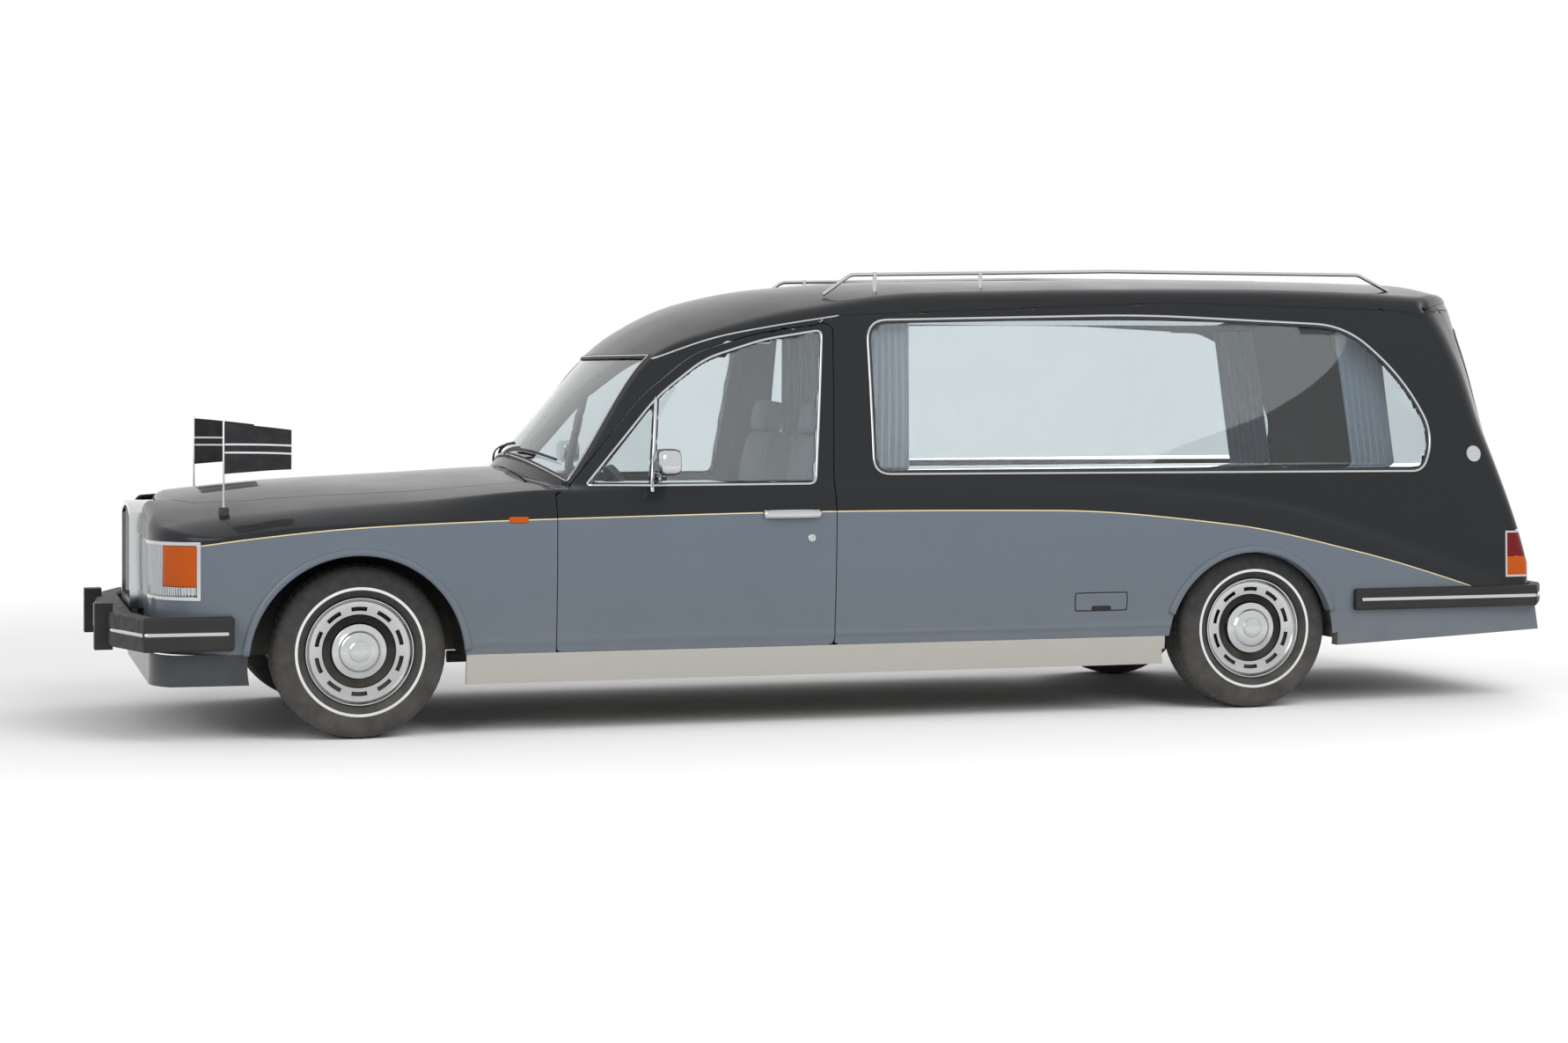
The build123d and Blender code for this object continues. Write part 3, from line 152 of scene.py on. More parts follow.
def lowerSide(x, z):
    # half width of the lower body: a bulging arc from sill to shoulder, then the rolled-over edge and
    # above it a slope inwards, steeper ahead of the doors
    sill, shoulder, top, shoulderZ, topZ, crownZ = lowerAt(x)
    t = np.clip((z - car["sillBottom"]) / (shoulderZ - car["sillBottom"]), -0.5, 1)
    wall = shoulder - (shoulder - sill) * (1 - t) * (1 - 1.13 * t)
    s = np.clip((z - shoulderZ) / (topZ - shoulderZ), 0, 1)
    roll = shoulder + (top - shoulder) * (0.62 * s + 0.38 * s ** 3)
    cap = top - (z - topZ) * (1.0 + 5.0 * np.clip((x - 1.0) / 0.3, 0, 1))
    return np.where(z <= shoulderZ, wall, np.where(z <= topZ, roll, cap))


def lowerTop(x, y):
    # height of the lower body's top: a parabola over the crown, then down the rolled-over edge
    sill, shoulder, top, shoulderZ, topZ, crownZ = lowerAt(x)
    w = np.abs(y)
    crown = crownZ - (crownZ - topZ) * (w / top) ** 2
    s = np.clip((w - top) / (shoulder - top), 0, 1)
    return np.where(w <= top, crown, topZ - (topZ - shoulderZ) * (0.55 * s + 0.45 * s ** 2))


def roofCorner(x):
    # the rolled corner between side and roof is a quadratic curve: it starts at the gutter, ends at
    # the roof's edge, and its middle point is where the slopes of side and roof meet
    waistY, waistZ, gutterY, gutterHigh, edgeY, edgeZ, roofZ = upperAt(x)
    lean = (waistY - gutterY + 0.010 * np.pi) / (gutterHigh - waistZ)
    slope = 2 * (roofZ - edgeZ) / edgeY
    middleY = (gutterY - lean * (edgeZ - gutterHigh) - lean * slope * edgeY) / (1 - lean * slope)
    return (gutterY, middleY, edgeY), (gutterHigh, edgeZ - slope * (middleY - edgeY), edgeZ)


def bend(curve, u):  # a quadratic curve's value at u
    return curve[0] * (1 - u) ** 2 + 2 * curve[1] * u * (1 - u) + curve[2] * u * u


def bendAt(curve, value):  # how far along a quadratic curve its value is reached
    a, b, c = curve[0] - 2 * curve[1] + curve[2], 2 * (curve[1] - curve[0]), curve[0] - value
    root = np.sqrt(np.maximum(b * b - 4 * a * c, 0))
    return np.clip(-2 * c / (b + np.where(b < 0, -root, root)), 0, 1)


def upperSide(x, z):
    # half width of the upper body: straight from foot to waist, then to the gutter with a slight
    # bulge, then round the roof's rolled corner
    waistY, waistZ, gutterY, gutterHigh, edgeY, edgeZ, roofZ = upperAt(x)
    footY = 0.915 * car["halfWidth"]
    low = footY + (waistY - footY) * np.clip((z - 0.3) / (waistZ - 0.3), -0.3, 1)
    t = np.clip((z - waistZ) / (gutterHigh - waistZ), 0, 1)
    wall = waistY + (gutterY - waistY) * t + 0.010 * np.sin(np.pi * t)
    across, up = roofCorner(x)
    return np.where(z <= waistZ, low, np.where(z <= gutterHigh, wall, bend(across, bendAt(up, z))))


def archDistance(x, z, end):  # distance outside a wheel arch's edge, seen from the side
    cx, cz, radius = arches[end]
    return np.hypot(x - cx, z - cz) - radius


def archFlare(x, z):  # the lip swells outwards and fades over a hand's width round each arch
    return sum(0.011 * np.exp(-(np.maximum(archDistance(x, z, end), 0) / 0.026) ** 2) for end in arches)


def sideY(x, z):
    # half width of the whole body: the larger of the lower and upper forms, with a soft fillet
    # where they meet, plus the arch lips and the swage above the sill
    a, b = lowerSide(x, z), upperSide(x, z)
    soft = 0.5 * (a + b + np.sqrt((a - b) ** 2 + 0.016 ** 2)) - 0.003
    swage = 0.004 * np.exp(-((z - 0.372) / 0.010) ** 2)
    return soft + archFlare(x, z) + swage


tailBow = {
    "heights": (0.60, 0.756, 1.03, 1.24, 1.447, 1.60, 1.75),
    "bows": (0.175, 0.204, 0.288, 0.373, 0.449, 0.55, 0.70),
    "lowest": 0.60,
    "lean": 0.172 / 1.063,
    "edge": (0.030, 0.020),
}


def tailFace(y, z):
    # the tail leans forward with height, and a parabola brings its corners forward, more so higher up
    high = np.maximum(z, tailBow["lowest"])
    bow = easeCurve(high, tailBow["heights"], tailBow["bows"])
    return car["tailX"] + tailBow["lean"] * (high - 0.700) + bow * (y / car["halfWidth"]) ** 2


def roofTopZ(x, y):  # height of the roof at x and y: a parabola between the edges, then the rolled corner
    edgeY, edgeZ, roofZ = upperAt(x)[4:]
    w = np.abs(y)
    across, up = roofCorner(x)
    crown = roofZ - (roofZ - edgeZ) * (w / edgeY) ** 2
    return np.where(w <= edgeY, crown, bend(up, bendAt(across, w)))


def roundedLine(points, rounds, steps=9):
    # each corner is replaced by a short parabola between the two places a given length before and
    # after it, and the result is one closed line
    points = np.asarray(points, float)
    rounds = np.broadcast_to(np.asarray(rounds, float), (len(points),))
    before, after = np.roll(points, 1, 0) - points, np.roll(points, -1, 0) - points
    before /= np.linalg.norm(before, axis=1)[:, None]
    after /= np.linalg.norm(after, axis=1)[:, None]
    a, c = points + before * rounds[:, None], points + after * rounds[:, None]
    t = np.linspace(0, 1, steps)[None, :, None]
    bend = a[:, None] * (1 - t) ** 2 + points[:, None] * 2 * t * (1 - t) + c[:, None] * t ** 2
    return bend.reshape(-1, points.shape[1])


def lineDistance(line, p, q):
    # signed distance to a closed line, negative inside: the least distance to its runs, with the
    # sign from how often a level ray crosses it
    p, q = np.asarray(p, float), np.asarray(q, float)
    best = np.full(p.shape, 1e9)
    inside = np.zeros(p.shape, bool)
    for (ax, ay), (bx, by) in zip(line, np.roll(line, -1, 0)):
        dx, dy = bx - ax, by - ay
        t = np.clip(((p - ax) * dx + (q - ay) * dy) / (dx * dx + dy * dy + 1e-15), 0, 1)
        best = np.minimum(best, (p - ax - t * dx) ** 2 + (q - ay - t * dy) ** 2)
        crosses = ((ay > q) != (by > q)) & (p < (bx - ax) * (q - ay) / (by - ay + 1e-15) + ax)
        inside ^= crosses
    return np.where(inside, -1, 1) * np.sqrt(best)


doorLine = roundedLine(sideLine(doorShares), (0.02, 0.004, 0.004, 0.08, 0.08, 0.08, 0.01, 0.01, 0.02, 0.03))
doorWindowLine = roundedLine(sideLine(doorWindowShares), (0.012, 0.09, 0.07, 0.07, 0.03, 0.03))
barLine = sideLine(quarterBarShares)
windowTurns = np.array(sideWindowRounds) * car["wheelbase"] * (0.85, 0.85, 0.30, 0.85, 0.50, 0.62, 0.85)
windowLine = roundedLine(sideLine(sideWindowShares), windowTurns)
gutterLine = sideLine(gutterShares)
bonnetEdge = np.column_stack([car["frontAxleX"] + car["wheelbase"] * np.array(bonnetShares)[:, 0],
                              car["halfWidth"] * np.array(bonnetShares)[:, 1]])
bonnetLine = np.vstack([bonnetEdge * (1, -1), bonnetEdge[::-1]])
tailgateLine = np.array([(-0.698, 0.528), (0.698, 0.528), (0.585, 1.72975), (-0.585, 1.72975)])
tailWindowLine = roundedLine([(-0.575, 1.01), (0.575, 1.01), (0.490, 1.64), (-0.490, 1.64)], 0.08)
arc = np.linspace(-1, 1, 31)
screenLine = np.vstack([
    np.column_stack([arc * 0.7752, 1.0958 - 0.0935 * arc ** 2]),
    [(0.6431, 1.5156), (-0.6431, 1.5156)],
])


def gutterZ(x):
    return np.interp(-x, -gutterLine[:, 0], gutterLine[:, 1])


def trimmedSheet(place, edge, cells):
    # grid of two parameters from 0 to 1; points nearer than half a cell to the edge's zero line are
    # moved onto it along the edge's gradient, and what lies outside is left out
    a, b = np.meshgrid(np.linspace(0, 1, cells[0] + 1), np.linspace(0, 1, cells[1] + 1), indexing="ij")
    points = place(a, b)
    away = edge(points)
    ga, gb = np.gradient(away)
    near = np.abs(away) <= 0.5 * np.maximum(np.abs(ga), np.abs(gb)) + 1e-9
    size = ga ** 2 + gb ** 2 + 1e-15
    for _ in range(3):
        a = np.clip(a - np.where(near, away * ga / size, 0) / cells[0], 0, 1)
        b = np.clip(b - np.where(near, away * gb / size, 0) / cells[1], 0, 1)
        points = place(a, b)
        away = edge(points)
    away = np.where(near, np.minimum(away, 0), away)
    number = np.arange(a.size).reshape(a.shape)
    quads = np.stack([number[:-1, :-1], number[1:, :-1], number[1:, 1:], number[:-1, 1:]], -1).reshape(-1, 4)
    keep = (away.ravel()[quads] <= 1e-6)
    full = quads[keep.all(1)]
    partial = quads[keep.sum(1) == 3]
    missing = np.argmin(keep[keep.sum(1) == 3], 1)
    corners = (missing[:, None] + np.array([1, 2, 3])) % 4
    triangles = np.take_along_axis(partial, corners, 1)
    return compact(points.reshape(-1, 3), [full, triangles])


def compact(points, faceSets):  # leaves out points that no face uses
    used, back = np.unique(np.concatenate([f.ravel() for f in faceSets]), return_inverse=True)
    parts, at = [], 0
    for f in faceSets:
        parts.append(back[at:at + f.size].reshape(f.shape))
        at += f.size
    return points[used], parts


def insetOf(place, depth):
    # the same sheet moved inwards: the normal is the cross product of the two ways along the sheet
    def moved(a, b):
        step = 1e-4
        along = place(np.minimum(a + step, 1), b) - place(np.maximum(a - step, 0), b)
        across = place(a, np.minimum(b + step, 1)) - place(a, np.maximum(b - step, 0))
        normal = np.cross(along, across)
        normal /= np.linalg.norm(normal, axis=-1)[..., None] + 1e-12
        return place(a, b) - normal * depth
    return moved


def gridFaces(rows, columns, closedRows=False, closedColumns=False):
    # quads between neighbours on a grid of points numbered row by row
    i = np.arange(rows if closedRows else rows - 1)[:, None]
    j = np.arange(columns if closedColumns else columns - 1)[None, :]
    ii, jj = (i + 1) % rows, (j + 1) % columns
    return np.stack([i * columns + j, ii * columns + j, ii * columns + jj, i * columns + jj], -1).reshape(-1, 4)


def joinSheets(*sheets):  # several lists of points and faces as one
    points, faces, at = [], [], 0
    for some, sets in sheets:
        points.append(np.asarray(some).reshape(-1, 3))
        faces += [f + at for f in sets]
        at += len(points[-1])
    return np.vstack(points), faces


def meshOf(name, points, faceSets):
    mesh = bpy.data.meshes.new(name)
    points = np.asarray(points, np.float32).reshape(-1, 3)
    faceSets = [np.asarray(f) for f in faceSets if len(f)]
    mesh.vertices.add(len(points))
    mesh.vertices.foreach_set("co", points.ravel())
    corners = np.concatenate([f.ravel() for f in faceSets]).astype(np.int32)
    sizes = np.concatenate([np.full(len(f), f.shape[1]) for f in faceSets])
    mesh.loops.add(len(corners))
    mesh.loops.foreach_set("vertex_index", corners)
    mesh.polygons.add(len(sizes))
    mesh.polygons.foreach_set("loop_start", np.concatenate([[0], np.cumsum(sizes)[:-1]]).astype(np.int32))
    mesh.update(calc_edges=True)
    mesh.validate()
    mesh.polygons.foreach_set("use_smooth", np.ones(len(mesh.polygons), bool))
    return mesh


def addPiece(name, mesh, body, material, replaced=(), attributes=None, sharp=None):
    piece = bpy.data.objects.new(name, mesh)
    scene.collection.objects.link(piece)
    for label, values in (attributes or {}).items():
        layer = mesh.attributes.new(label, "FLOAT", "POINT")
        layer.data.foreach_set("value", np.asarray(values, np.float32).ravel())
    for entry in material if isinstance(material, (list, tuple)) else [material]:
        mesh.materials.append(entry)
    if sharp:
        mesh.set_sharp_from_angle(angle=np.radians(sharp))
    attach(piece, body)
    if replaced:
        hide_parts(*replaced)
    return piece


def mirrorPoints(points, faceSets):
    return points * (1, -1, 1), [f[:, ::-1] for f in faceSets]


def thicken(piece, thickness, bevel=0.0015, innerMaterial=None):
    wall = piece.modifiers.new("wall", "SOLIDIFY")
    wall.thickness = thickness
    wall.offset = -1
    wall.use_even_offset = False
    if innerMaterial is not None:
        piece.data.materials.append(innerMaterial)
        wall.material_offset = len(piece.data.materials) - 1
        wall.material_offset_rim = 0
    if bevel:
        rim = piece.modifiers.new("edge", "BEVEL")
        rim.width = bevel
        rim.segments = 2
        rim.limit_method = "ANGLE"
        rim.angle_limit = np.radians(55)
        rim.harden_normals = True


def sweep(path, profile, up, closed=False):
    # a profile (across, out) carried along a path; across is the path's direction crossed with up
    path, profile = np.asarray(path, float), np.asarray(profile, float)
    if closed:
        along = np.roll(path, -1, 0) - np.roll(path, 1, 0)
    else:
        along = np.gradient(path, axis=0)
    along /= np.linalg.norm(along, axis=1)[:, None] + 1e-12
    up = np.broadcast_to(np.asarray(up, float), path.shape)
    across = np.cross(along, up)
    across /= np.linalg.norm(across, axis=1)[:, None] + 1e-12
    out = np.cross(across, along)
    ring = (path[:, None] + across[:, None] * profile[None, :, :1] + out[:, None] * profile[None, :, 1:2])
    rows, columns = ring.shape[:2]
    faces = [gridFaces(rows, columns, closedRows=closed, closedColumns=True)]
    points = ring.reshape(-1, 3)
    if not closed:  # both ends are closed by a fan about their middle
        ends = np.vstack([path[:1], path[-1:]])
        loop = np.arange(columns)
        nextOne = np.roll(loop, -1)
        first = np.column_stack([np.full(columns, len(points)), loop, nextOne])
        last = np.column_stack([np.full(columns, len(points) + 1), loop + (rows - 1) * columns,
                                nextOne + (rows - 1) * columns])[:, ::-1]
        faces += [first, last]
        points = np.vstack([points, ends])
    return points, faces


def oval(width, height, steps=10, power=2.0):  # closed profile: a circle or a squarer oval
    angle = np.linspace(0, 2 * np.pi, steps, endpoint=False)
    c, s = np.cos(angle), np.sin(angle)
    return np.column_stack([np.sign(c) * np.abs(c) ** (2 / power) * width / 2,
                            np.sign(s) * np.abs(s) ** (2 / power) * height / 2])


print("tools ready")


# shader effects that several materials share

def shaderGroup(name, inputs, outputs):
    group = bpy.data.node_groups.new(name, "ShaderNodeTree")
    kinds = {"colour": "NodeSocketColor", "number": "NodeSocketFloat", "vector": "NodeSocketVector"}
    for label, kind in inputs:
        group.interface.new_socket(name=label, in_out="INPUT", socket_type=kinds[kind])
    for label, kind in outputs:
        group.interface.new_socket(name=label, in_out="OUTPUT", socket_type=kinds[kind])
    return group, group.nodes.new("NodeGroupInput"), group.nodes.new("NodeGroupOutput")


def node(tree, kind, **values):
    made = tree.nodes.new(kind)
    for key, value in values.items():
        if hasattr(made, key):
            setattr(made, key, value)
        else:
            made.inputs[key.replace("_", " ")].default_value = value
    return made


def mathNode(tree, operation, a, b=0.0, clamp=False):
    made = tree.nodes.new("ShaderNodeMath")
    made.operation = operation
    made.use_clamp = clamp
    for slot, value in zip(made.inputs, (a, b)):
        if hasattr(value, "links"):
            tree.links.new(value, slot)
        else:
            slot.default_value = value
    return made.outputs[0]


def mixColour(tree, factor, a, b, blend="MIX"):
    made = tree.nodes.new("ShaderNodeMix")
    made.data_type = "RGBA"
    made.blend_type = blend
    for slot, value in ((made.inputs[0], factor), (made.inputs[6], a), (made.inputs[7], b)):
        if hasattr(value, "links"):
            tree.links.new(value, slot)
        else:
            slot.default_value = value
    return made.outputs[2]


def rangeNode(tree, value, low, high, toLow, toHigh, smooth=True):
    made = tree.nodes.new("ShaderNodeMapRange")
    made.interpolation_type = "SMOOTHSTEP" if smooth else "LINEAR"
    tree.links.new(value, made.inputs[0])
    for slot, number in zip(made.inputs[1:5], (low, high, toLow, toHigh)):
        slot.default_value = number
    return made.outputs[0]


# mottle: the colour drifts lighter and darker with a soft noise
mottle, mottleIn, mottleOut = shaderGroup("mottle", [("Color", "colour"), ("Scale", "number"), ("Amount", "number")],
                                          [("Color", "colour"), ("Value", "number")])
place = node(mottle, "ShaderNodeTexCoord")
cloud = node(mottle, "ShaderNodeTexNoise", Detail=5.0)
mottle.links.new(place.outputs["Object"], cloud.inputs["Vector"])
mottle.links.new(mottleIn.outputs["Scale"], cloud.inputs["Scale"])
drift = mathNode(mottle, "MULTIPLY", mathNode(mottle, "SUBTRACT", cloud.outputs[0], 0.5), mottleIn.outputs["Amount"])
grey = node(mottle, "ShaderNodeCombineColor")
level = mathNode(mottle, "ADD", drift, 1.0)
for slot in grey.inputs:
    mottle.links.new(level, slot)
mottle.links.new(mixColour(mottle, 1.0, mottleIn.outputs["Color"], grey.outputs[0], "MULTIPLY"), mottleOut.inputs[0])
mottle.links.new(cloud.outputs[0], mottleOut.inputs[1])

# road film: a thin dull film that thickens towards the ground, broken up by noise
film, filmIn, filmOut = shaderGroup("roadFilm", [("Color", "colour"), ("Roughness", "number"), ("Amount", "number")],
                                    [("Color", "colour"), ("Roughness", "number")])
place = node(film, "ShaderNodeTexCoord")
apart = node(film, "ShaderNodeSeparateXYZ")
film.links.new(place.outputs["Object"], apart.inputs[0])
cloud = node(film, "ShaderNodeTexNoise", Scale=9.0, Detail=6.0)
film.links.new(place.outputs["Object"], cloud.inputs["Vector"])
low = rangeNode(film, apart.outputs["Z"], 0.15, 0.62, 1.0, 0.0)
amount = mathNode(film, "MULTIPLY", mathNode(film, "MULTIPLY", low, filmIn.outputs["Amount"]),
                  rangeNode(film, cloud.outputs[0], 0.3, 0.75, 0.35, 1.0), clamp=True)
film.links.new(mixColour(film, amount, filmIn.outputs["Color"], (0.23, 0.21, 0.18, 1)), filmOut.inputs[0])
film.links.new(mathNode(film, "ADD", filmIn.outputs["Roughness"], mathNode(film, "MULTIPLY", amount, 0.5)),
               filmOut.inputs[1])

# grain: fine pits and ridges as a bump, for hide, moulded plastic, rubber and cloth
grain, grainIn, grainOut = shaderGroup("grain", [("Scale", "number"), ("Depth", "number")], [("Normal", "vector")])
place = node(grain, "ShaderNodeTexCoord")
pits = node(grain, "ShaderNodeTexVoronoi", feature="F1")
fine = node(grain, "ShaderNodeTexNoise", Detail=4.0)
grain.links.new(place.outputs["Object"], pits.inputs["Vector"])
grain.links.new(place.outputs["Object"], fine.inputs["Vector"])
grain.links.new(grainIn.outputs["Scale"], pits.inputs["Scale"])
grain.links.new(mathNode(grain, "MULTIPLY", grainIn.outputs["Scale"], 0.6), fine.inputs["Scale"])
bump = node(grain, "ShaderNodeBump", Strength=0.6)
grain.links.new(mathNode(grain, "ADD", pits.outputs["Distance"], fine.outputs[0]), bump.inputs["Height"])
grain.links.new(grainIn.outputs["Depth"], bump.inputs["Distance"])
grain.links.new(bump.outputs[0], grainOut.inputs[0])


def finish(name, colour, roughness=0.4, metallic=0.0, mottled=(30.0, 0.1), filmed=0.0, grained=None, **sockets):
    # a material: one colour with mottle, road film and grain, and its fixed numbers on the shader
    made = bpy.data.materials.new(name)
    made.use_nodes = True
    tree = made.node_tree
    shader = tree.nodes["Principled BSDF"]
    shader.inputs["Metallic"].default_value = metallic
    shader.inputs["Roughness"].default_value = roughness
    for key, value in sockets.items():
        shader.inputs[key.replace("_", " ")].default_value = value
    drifted = tree.nodes.new("ShaderNodeGroup")
    drifted.node_tree = mottle
    drifted.inputs["Scale"].default_value, drifted.inputs["Amount"].default_value = mottled
    if hasattr(colour, "__call__"):
        tree.links.new(colour(tree), drifted.inputs["Color"])
    else:
        drifted.inputs["Color"].default_value = (*colour, 1)
    out = drifted.outputs[0]
    dulled = rangeNode(tree, drifted.outputs["Value"], 0.2, 0.8, roughness * 0.8, min(roughness * 1.25, 1))
    if filmed:
        coat = tree.nodes.new("ShaderNodeGroup")
        coat.node_tree = film
        tree.links.new(out, coat.inputs["Color"])
        tree.links.new(dulled, coat.inputs["Roughness"])
        coat.inputs["Amount"].default_value = filmed
        out, dulled = coat.outputs[0], coat.outputs[1]
    tree.links.new(out, shader.inputs["Base Color"])
    tree.links.new(dulled, shader.inputs["Roughness"])
    if grained:
        hide = tree.nodes.new("ShaderNodeGroup")
        hide.node_tree = grain
        hide.inputs["Scale"].default_value, hide.inputs["Depth"].default_value = grained
        tree.links.new(hide.outputs[0], shader.inputs["Normal"])
    return made


paint = {
    "upper": (0.010, 0.011, 0.013),
    "lower": (0.108, 0.130, 0.156),
    "line": (0.62, 0.52, 0.30),
    "lineHalf": 0.0022,
}


def toneColour(tree):  # dark above the coachline, grey below, and the line itself
    away = node(tree, "ShaderNodeAttribute", attribute_name="tone")
    upper = rangeNode(tree, away.outputs["Fac"], -0.0004, 0.0004, 0.0, 1.0, smooth=False)
    both = mixColour(tree, upper, (*paint["lower"], 1), (*paint["upper"], 1))
    inLine = mathNode(tree, "LESS_THAN", mathNode(tree, "ABSOLUTE", away.outputs["Fac"]), paint["lineHalf"])
    return mixColour(tree, inLine, both, (*paint["line"], 1))


def bandColour(attribute, below, stops):  # plain colours by an attribute: each stop starts a new colour
    def build(tree):
        away = node(tree, "ShaderNodeAttribute", attribute_name=attribute)
        out = None
        for start, colour in stops:
            past = mathNode(tree, "GREATER_THAN", away.outputs["Fac"], start)
            out = mixColour(tree, past, (*below, 1) if out is None else out, (*colour, 1))
        return out
    return build


lacquer = {"Coat_Weight": 0.55, "Coat_Roughness": 0.04, "Coat_IOR": 1.33, "Specular_IOR_Level": 0.14}
bodyPaint = finish("bodyPaint", toneColour, 0.38, 0.12, (2.5, 0.10), 0.20, **lacquer)
darkPaint = finish("darkPaint", paint["upper"], 0.38, 0.12, (2.5, 0.10), 0.0, **lacquer)
greyPaint = finish("greyPaint", paint["lower"], 0.38, 0.12, (2.5, 0.10), 0.30, **lacquer)
# the front apron's colour is darker than its own paint and stands for the shadow under the front bumper: painted shade
apronShadePaint = finish("apronShadePaint", (0.030, 0.034, 0.040), 0.45, 0.05, (6.0, 0.15), 0.10, **lacquer)
wallLining = finish("wallLining", (0.075, 0.078, 0.088), 0.8, 0.0, (60.0, 0.12), 0.0, (700.0, 0.0006))
bumperRubber = finish("bumperRubber", (0.016, 0.016, 0.017), 0.50, 0.0, (30.0, 0.22), 0.10, (700.0, 0.0004),
                      Specular_IOR_Level=0.25)
sillMetal = finish("sillMetal", (0.46, 0.445, 0.41), 0.36, 0.75, (9.0, 0.08), 0.08)
chrome = finish("chrome", (0.56, 0.57, 0.58), 0.09, 1.0, (14.0, 0.06), 0.0)
stainless = finish("stainless", (0.56, 0.57, 0.58), 0.30, 1.0, (22.0, 0.16), 0.30)
trimBlack = finish("trimBlack", (0.020, 0.020, 0.021), 0.55, 0.0, (40.0, 0.25), 0.4, (900.0, 0.0004))
headlining = finish("headlining", (0.52, 0.50, 0.46), 0.85, 0.0, (60.0, 0.12), 0.0, (700.0, 0.0006))
doorTrim = finish("doorTrim", (0.10, 0.115, 0.14), 0.6, 0.0, (40.0, 0.18), 0.0, (420.0, 0.0006))
leather = finish("leather", (0.135, 0.165, 0.205), 0.5, 0.0, (18.0, 0.22), 0.0, (320.0, 0.0012))
plastic = finish("plastic", (0.045, 0.05, 0.058), 0.5, 0.0, (50.0, 0.2), 0.0, (520.0, 0.0006))
deckFinish = finish("deckFinish", (0.20, 0.215, 0.24), 0.42, 0.0, (12.0, 0.25), 0.0, (160.0, 0.0004))
underbody = finish("underbody", (0.018, 0.018, 0.018), 0.75, 0.0, (8.0, 0.35), 0.8, (120.0, 0.0012))
castMetal = finish("castMetal", (0.11, 0.11, 0.11), 0.6, 0.6, (16.0, 0.35), 0.6, (160.0, 0.001))
lensAmber = finish("lensAmber", (0.40, 0.065, 0.001), 0.16, 0.0, (20.0, 0.08), 0.0, Specular_IOR_Level=0.2)
lensRed = finish("lensRed", (0.12, 0.004, 0.006), 0.16, 0.0, (20.0, 0.10), 0.0, Specular_IOR_Level=0.2)
plateWhite = finish("plateWhite", (0.72, 0.72, 0.70), 0.35, 0.0, (30.0, 0.05), 0.1)
tyreColours = bandColour("radius", (0.018, 0.018, 0.019), (
    (0.2445, (0.62, 0.62, 0.60)), (0.2555, (0.018, 0.018, 0.019)), (0.330, (0.026, 0.026, 0.026))))
tyreRubber = finish("tyreRubber", tyreColours, 0.72, 0.0, (30.0, 0.28), 0.22, (240.0, 0.0008))
trimColours = bandColour("radius", (0.58, 0.59, 0.60), ((0.1095, (0.012, 0.012, 0.012)), (0.1440, (0.52, 0.53, 0.54))))
wheelTrim = finish("wheelTrim", trimColours, 0.12, 1.0, (26.0, 0.10), 0.25)
mirrorFinish = finish("mirrorFinish", (0.42, 0.44, 0.46), 0.02, 1.0, (3.0, 0.02))
# near-black for the recess round and under the side flap: painted shade
recessShadeBlack = finish("recessShadeBlack", (0.008, 0.008, 0.008), 0.8, 0.0, (30.0, 0.2))


def clearMaterial(name, colour, roughness, grained=None):
    made = finish(name, colour, roughness, 0.0, (6.0, 0.04), 0.0, grained)
    shader = made.node_tree.nodes["Principled BSDF"]
    shader.inputs["Transmission Weight"].default_value = 1.0
    shader.inputs["IOR"].default_value = 1.45
    return made


windowGlass = clearMaterial("windowGlass", (0.72, 0.77, 0.785), 0.0)
lensClear = clearMaterial("lensClear", (0.92, 0.94, 0.95), 0.06)
lensTree = lensClear.node_tree
flutes = node(lensTree, "ShaderNodeTexWave", wave_type="BANDS", bands_direction="Y", Scale=38.0)
where = node(lensTree, "ShaderNodeTexCoord")
ribs = node(lensTree, "ShaderNodeBump", Strength=0.5, Distance=0.003)
lensTree.links.new(where.outputs["Object"], flutes.inputs["Vector"])
lensTree.links.new(flutes.outputs["Fac"], ribs.inputs["Height"])
lensTree.links.new(ribs.outputs[0], lensTree.nodes["Principled BSDF"].inputs["Normal"])


def clothMaterial(name, colour, threads, depth, sheen=0.3):
    # plain weave on the sheet's own map: threads over and under as the product of two sine waves
    made = finish(name, colour, 0.85, 0.0, (25.0, 0.18))
    tree = made.node_tree
    shader = tree.nodes["Principled BSDF"]
    shader.inputs["Sheen Weight"].default_value = sheen
    uv = node(tree, "ShaderNodeUVMap", uv_map="cloth")
    apart = node(tree, "ShaderNodeSeparateXYZ")
    tree.links.new(uv.outputs[0], apart.inputs[0])
    waves = [mathNode(tree, "SINE", mathNode(tree, "MULTIPLY", apart.outputs[i], threads * 6.2832)) for i in (0, 1)]
    bump = node(tree, "ShaderNodeBump", Strength=0.5, Distance=depth)
    tree.links.new(mathNode(tree, "MULTIPLY", *waves), bump.inputs["Height"])
    tree.links.new(bump.outputs[0], shader.inputs["Normal"])
    return made


curtainCloth = clothMaterial("curtainCloth", (0.30, 0.35, 0.42), 900.0, 0.0006, 0.5)


def flagColour(tree):  # black cloth with two thin pale stripes along its middle
    uv = node(tree, "ShaderNodeUVMap", uv_map="cloth")
    apart = node(tree, "ShaderNodeSeparateXYZ")
    tree.links.new(uv.outputs[0], apart.inputs[0])
    away = mathNode(tree, "ABSOLUTE", apart.outputs[1])
    stripe = mathNode(tree, "LESS_THAN", mathNode(tree, "ABSOLUTE", mathNode(tree, "SUBTRACT", away, 0.016)), 0.0035)
    return mixColour(tree, stripe, (0.010, 0.010, 0.012, 1), (0.62, 0.63, 0.64, 1))


flagCloth = clothMaterial("flagCloth", flagColour, 700.0, 0.0004, 0.2)
print("materials ready")


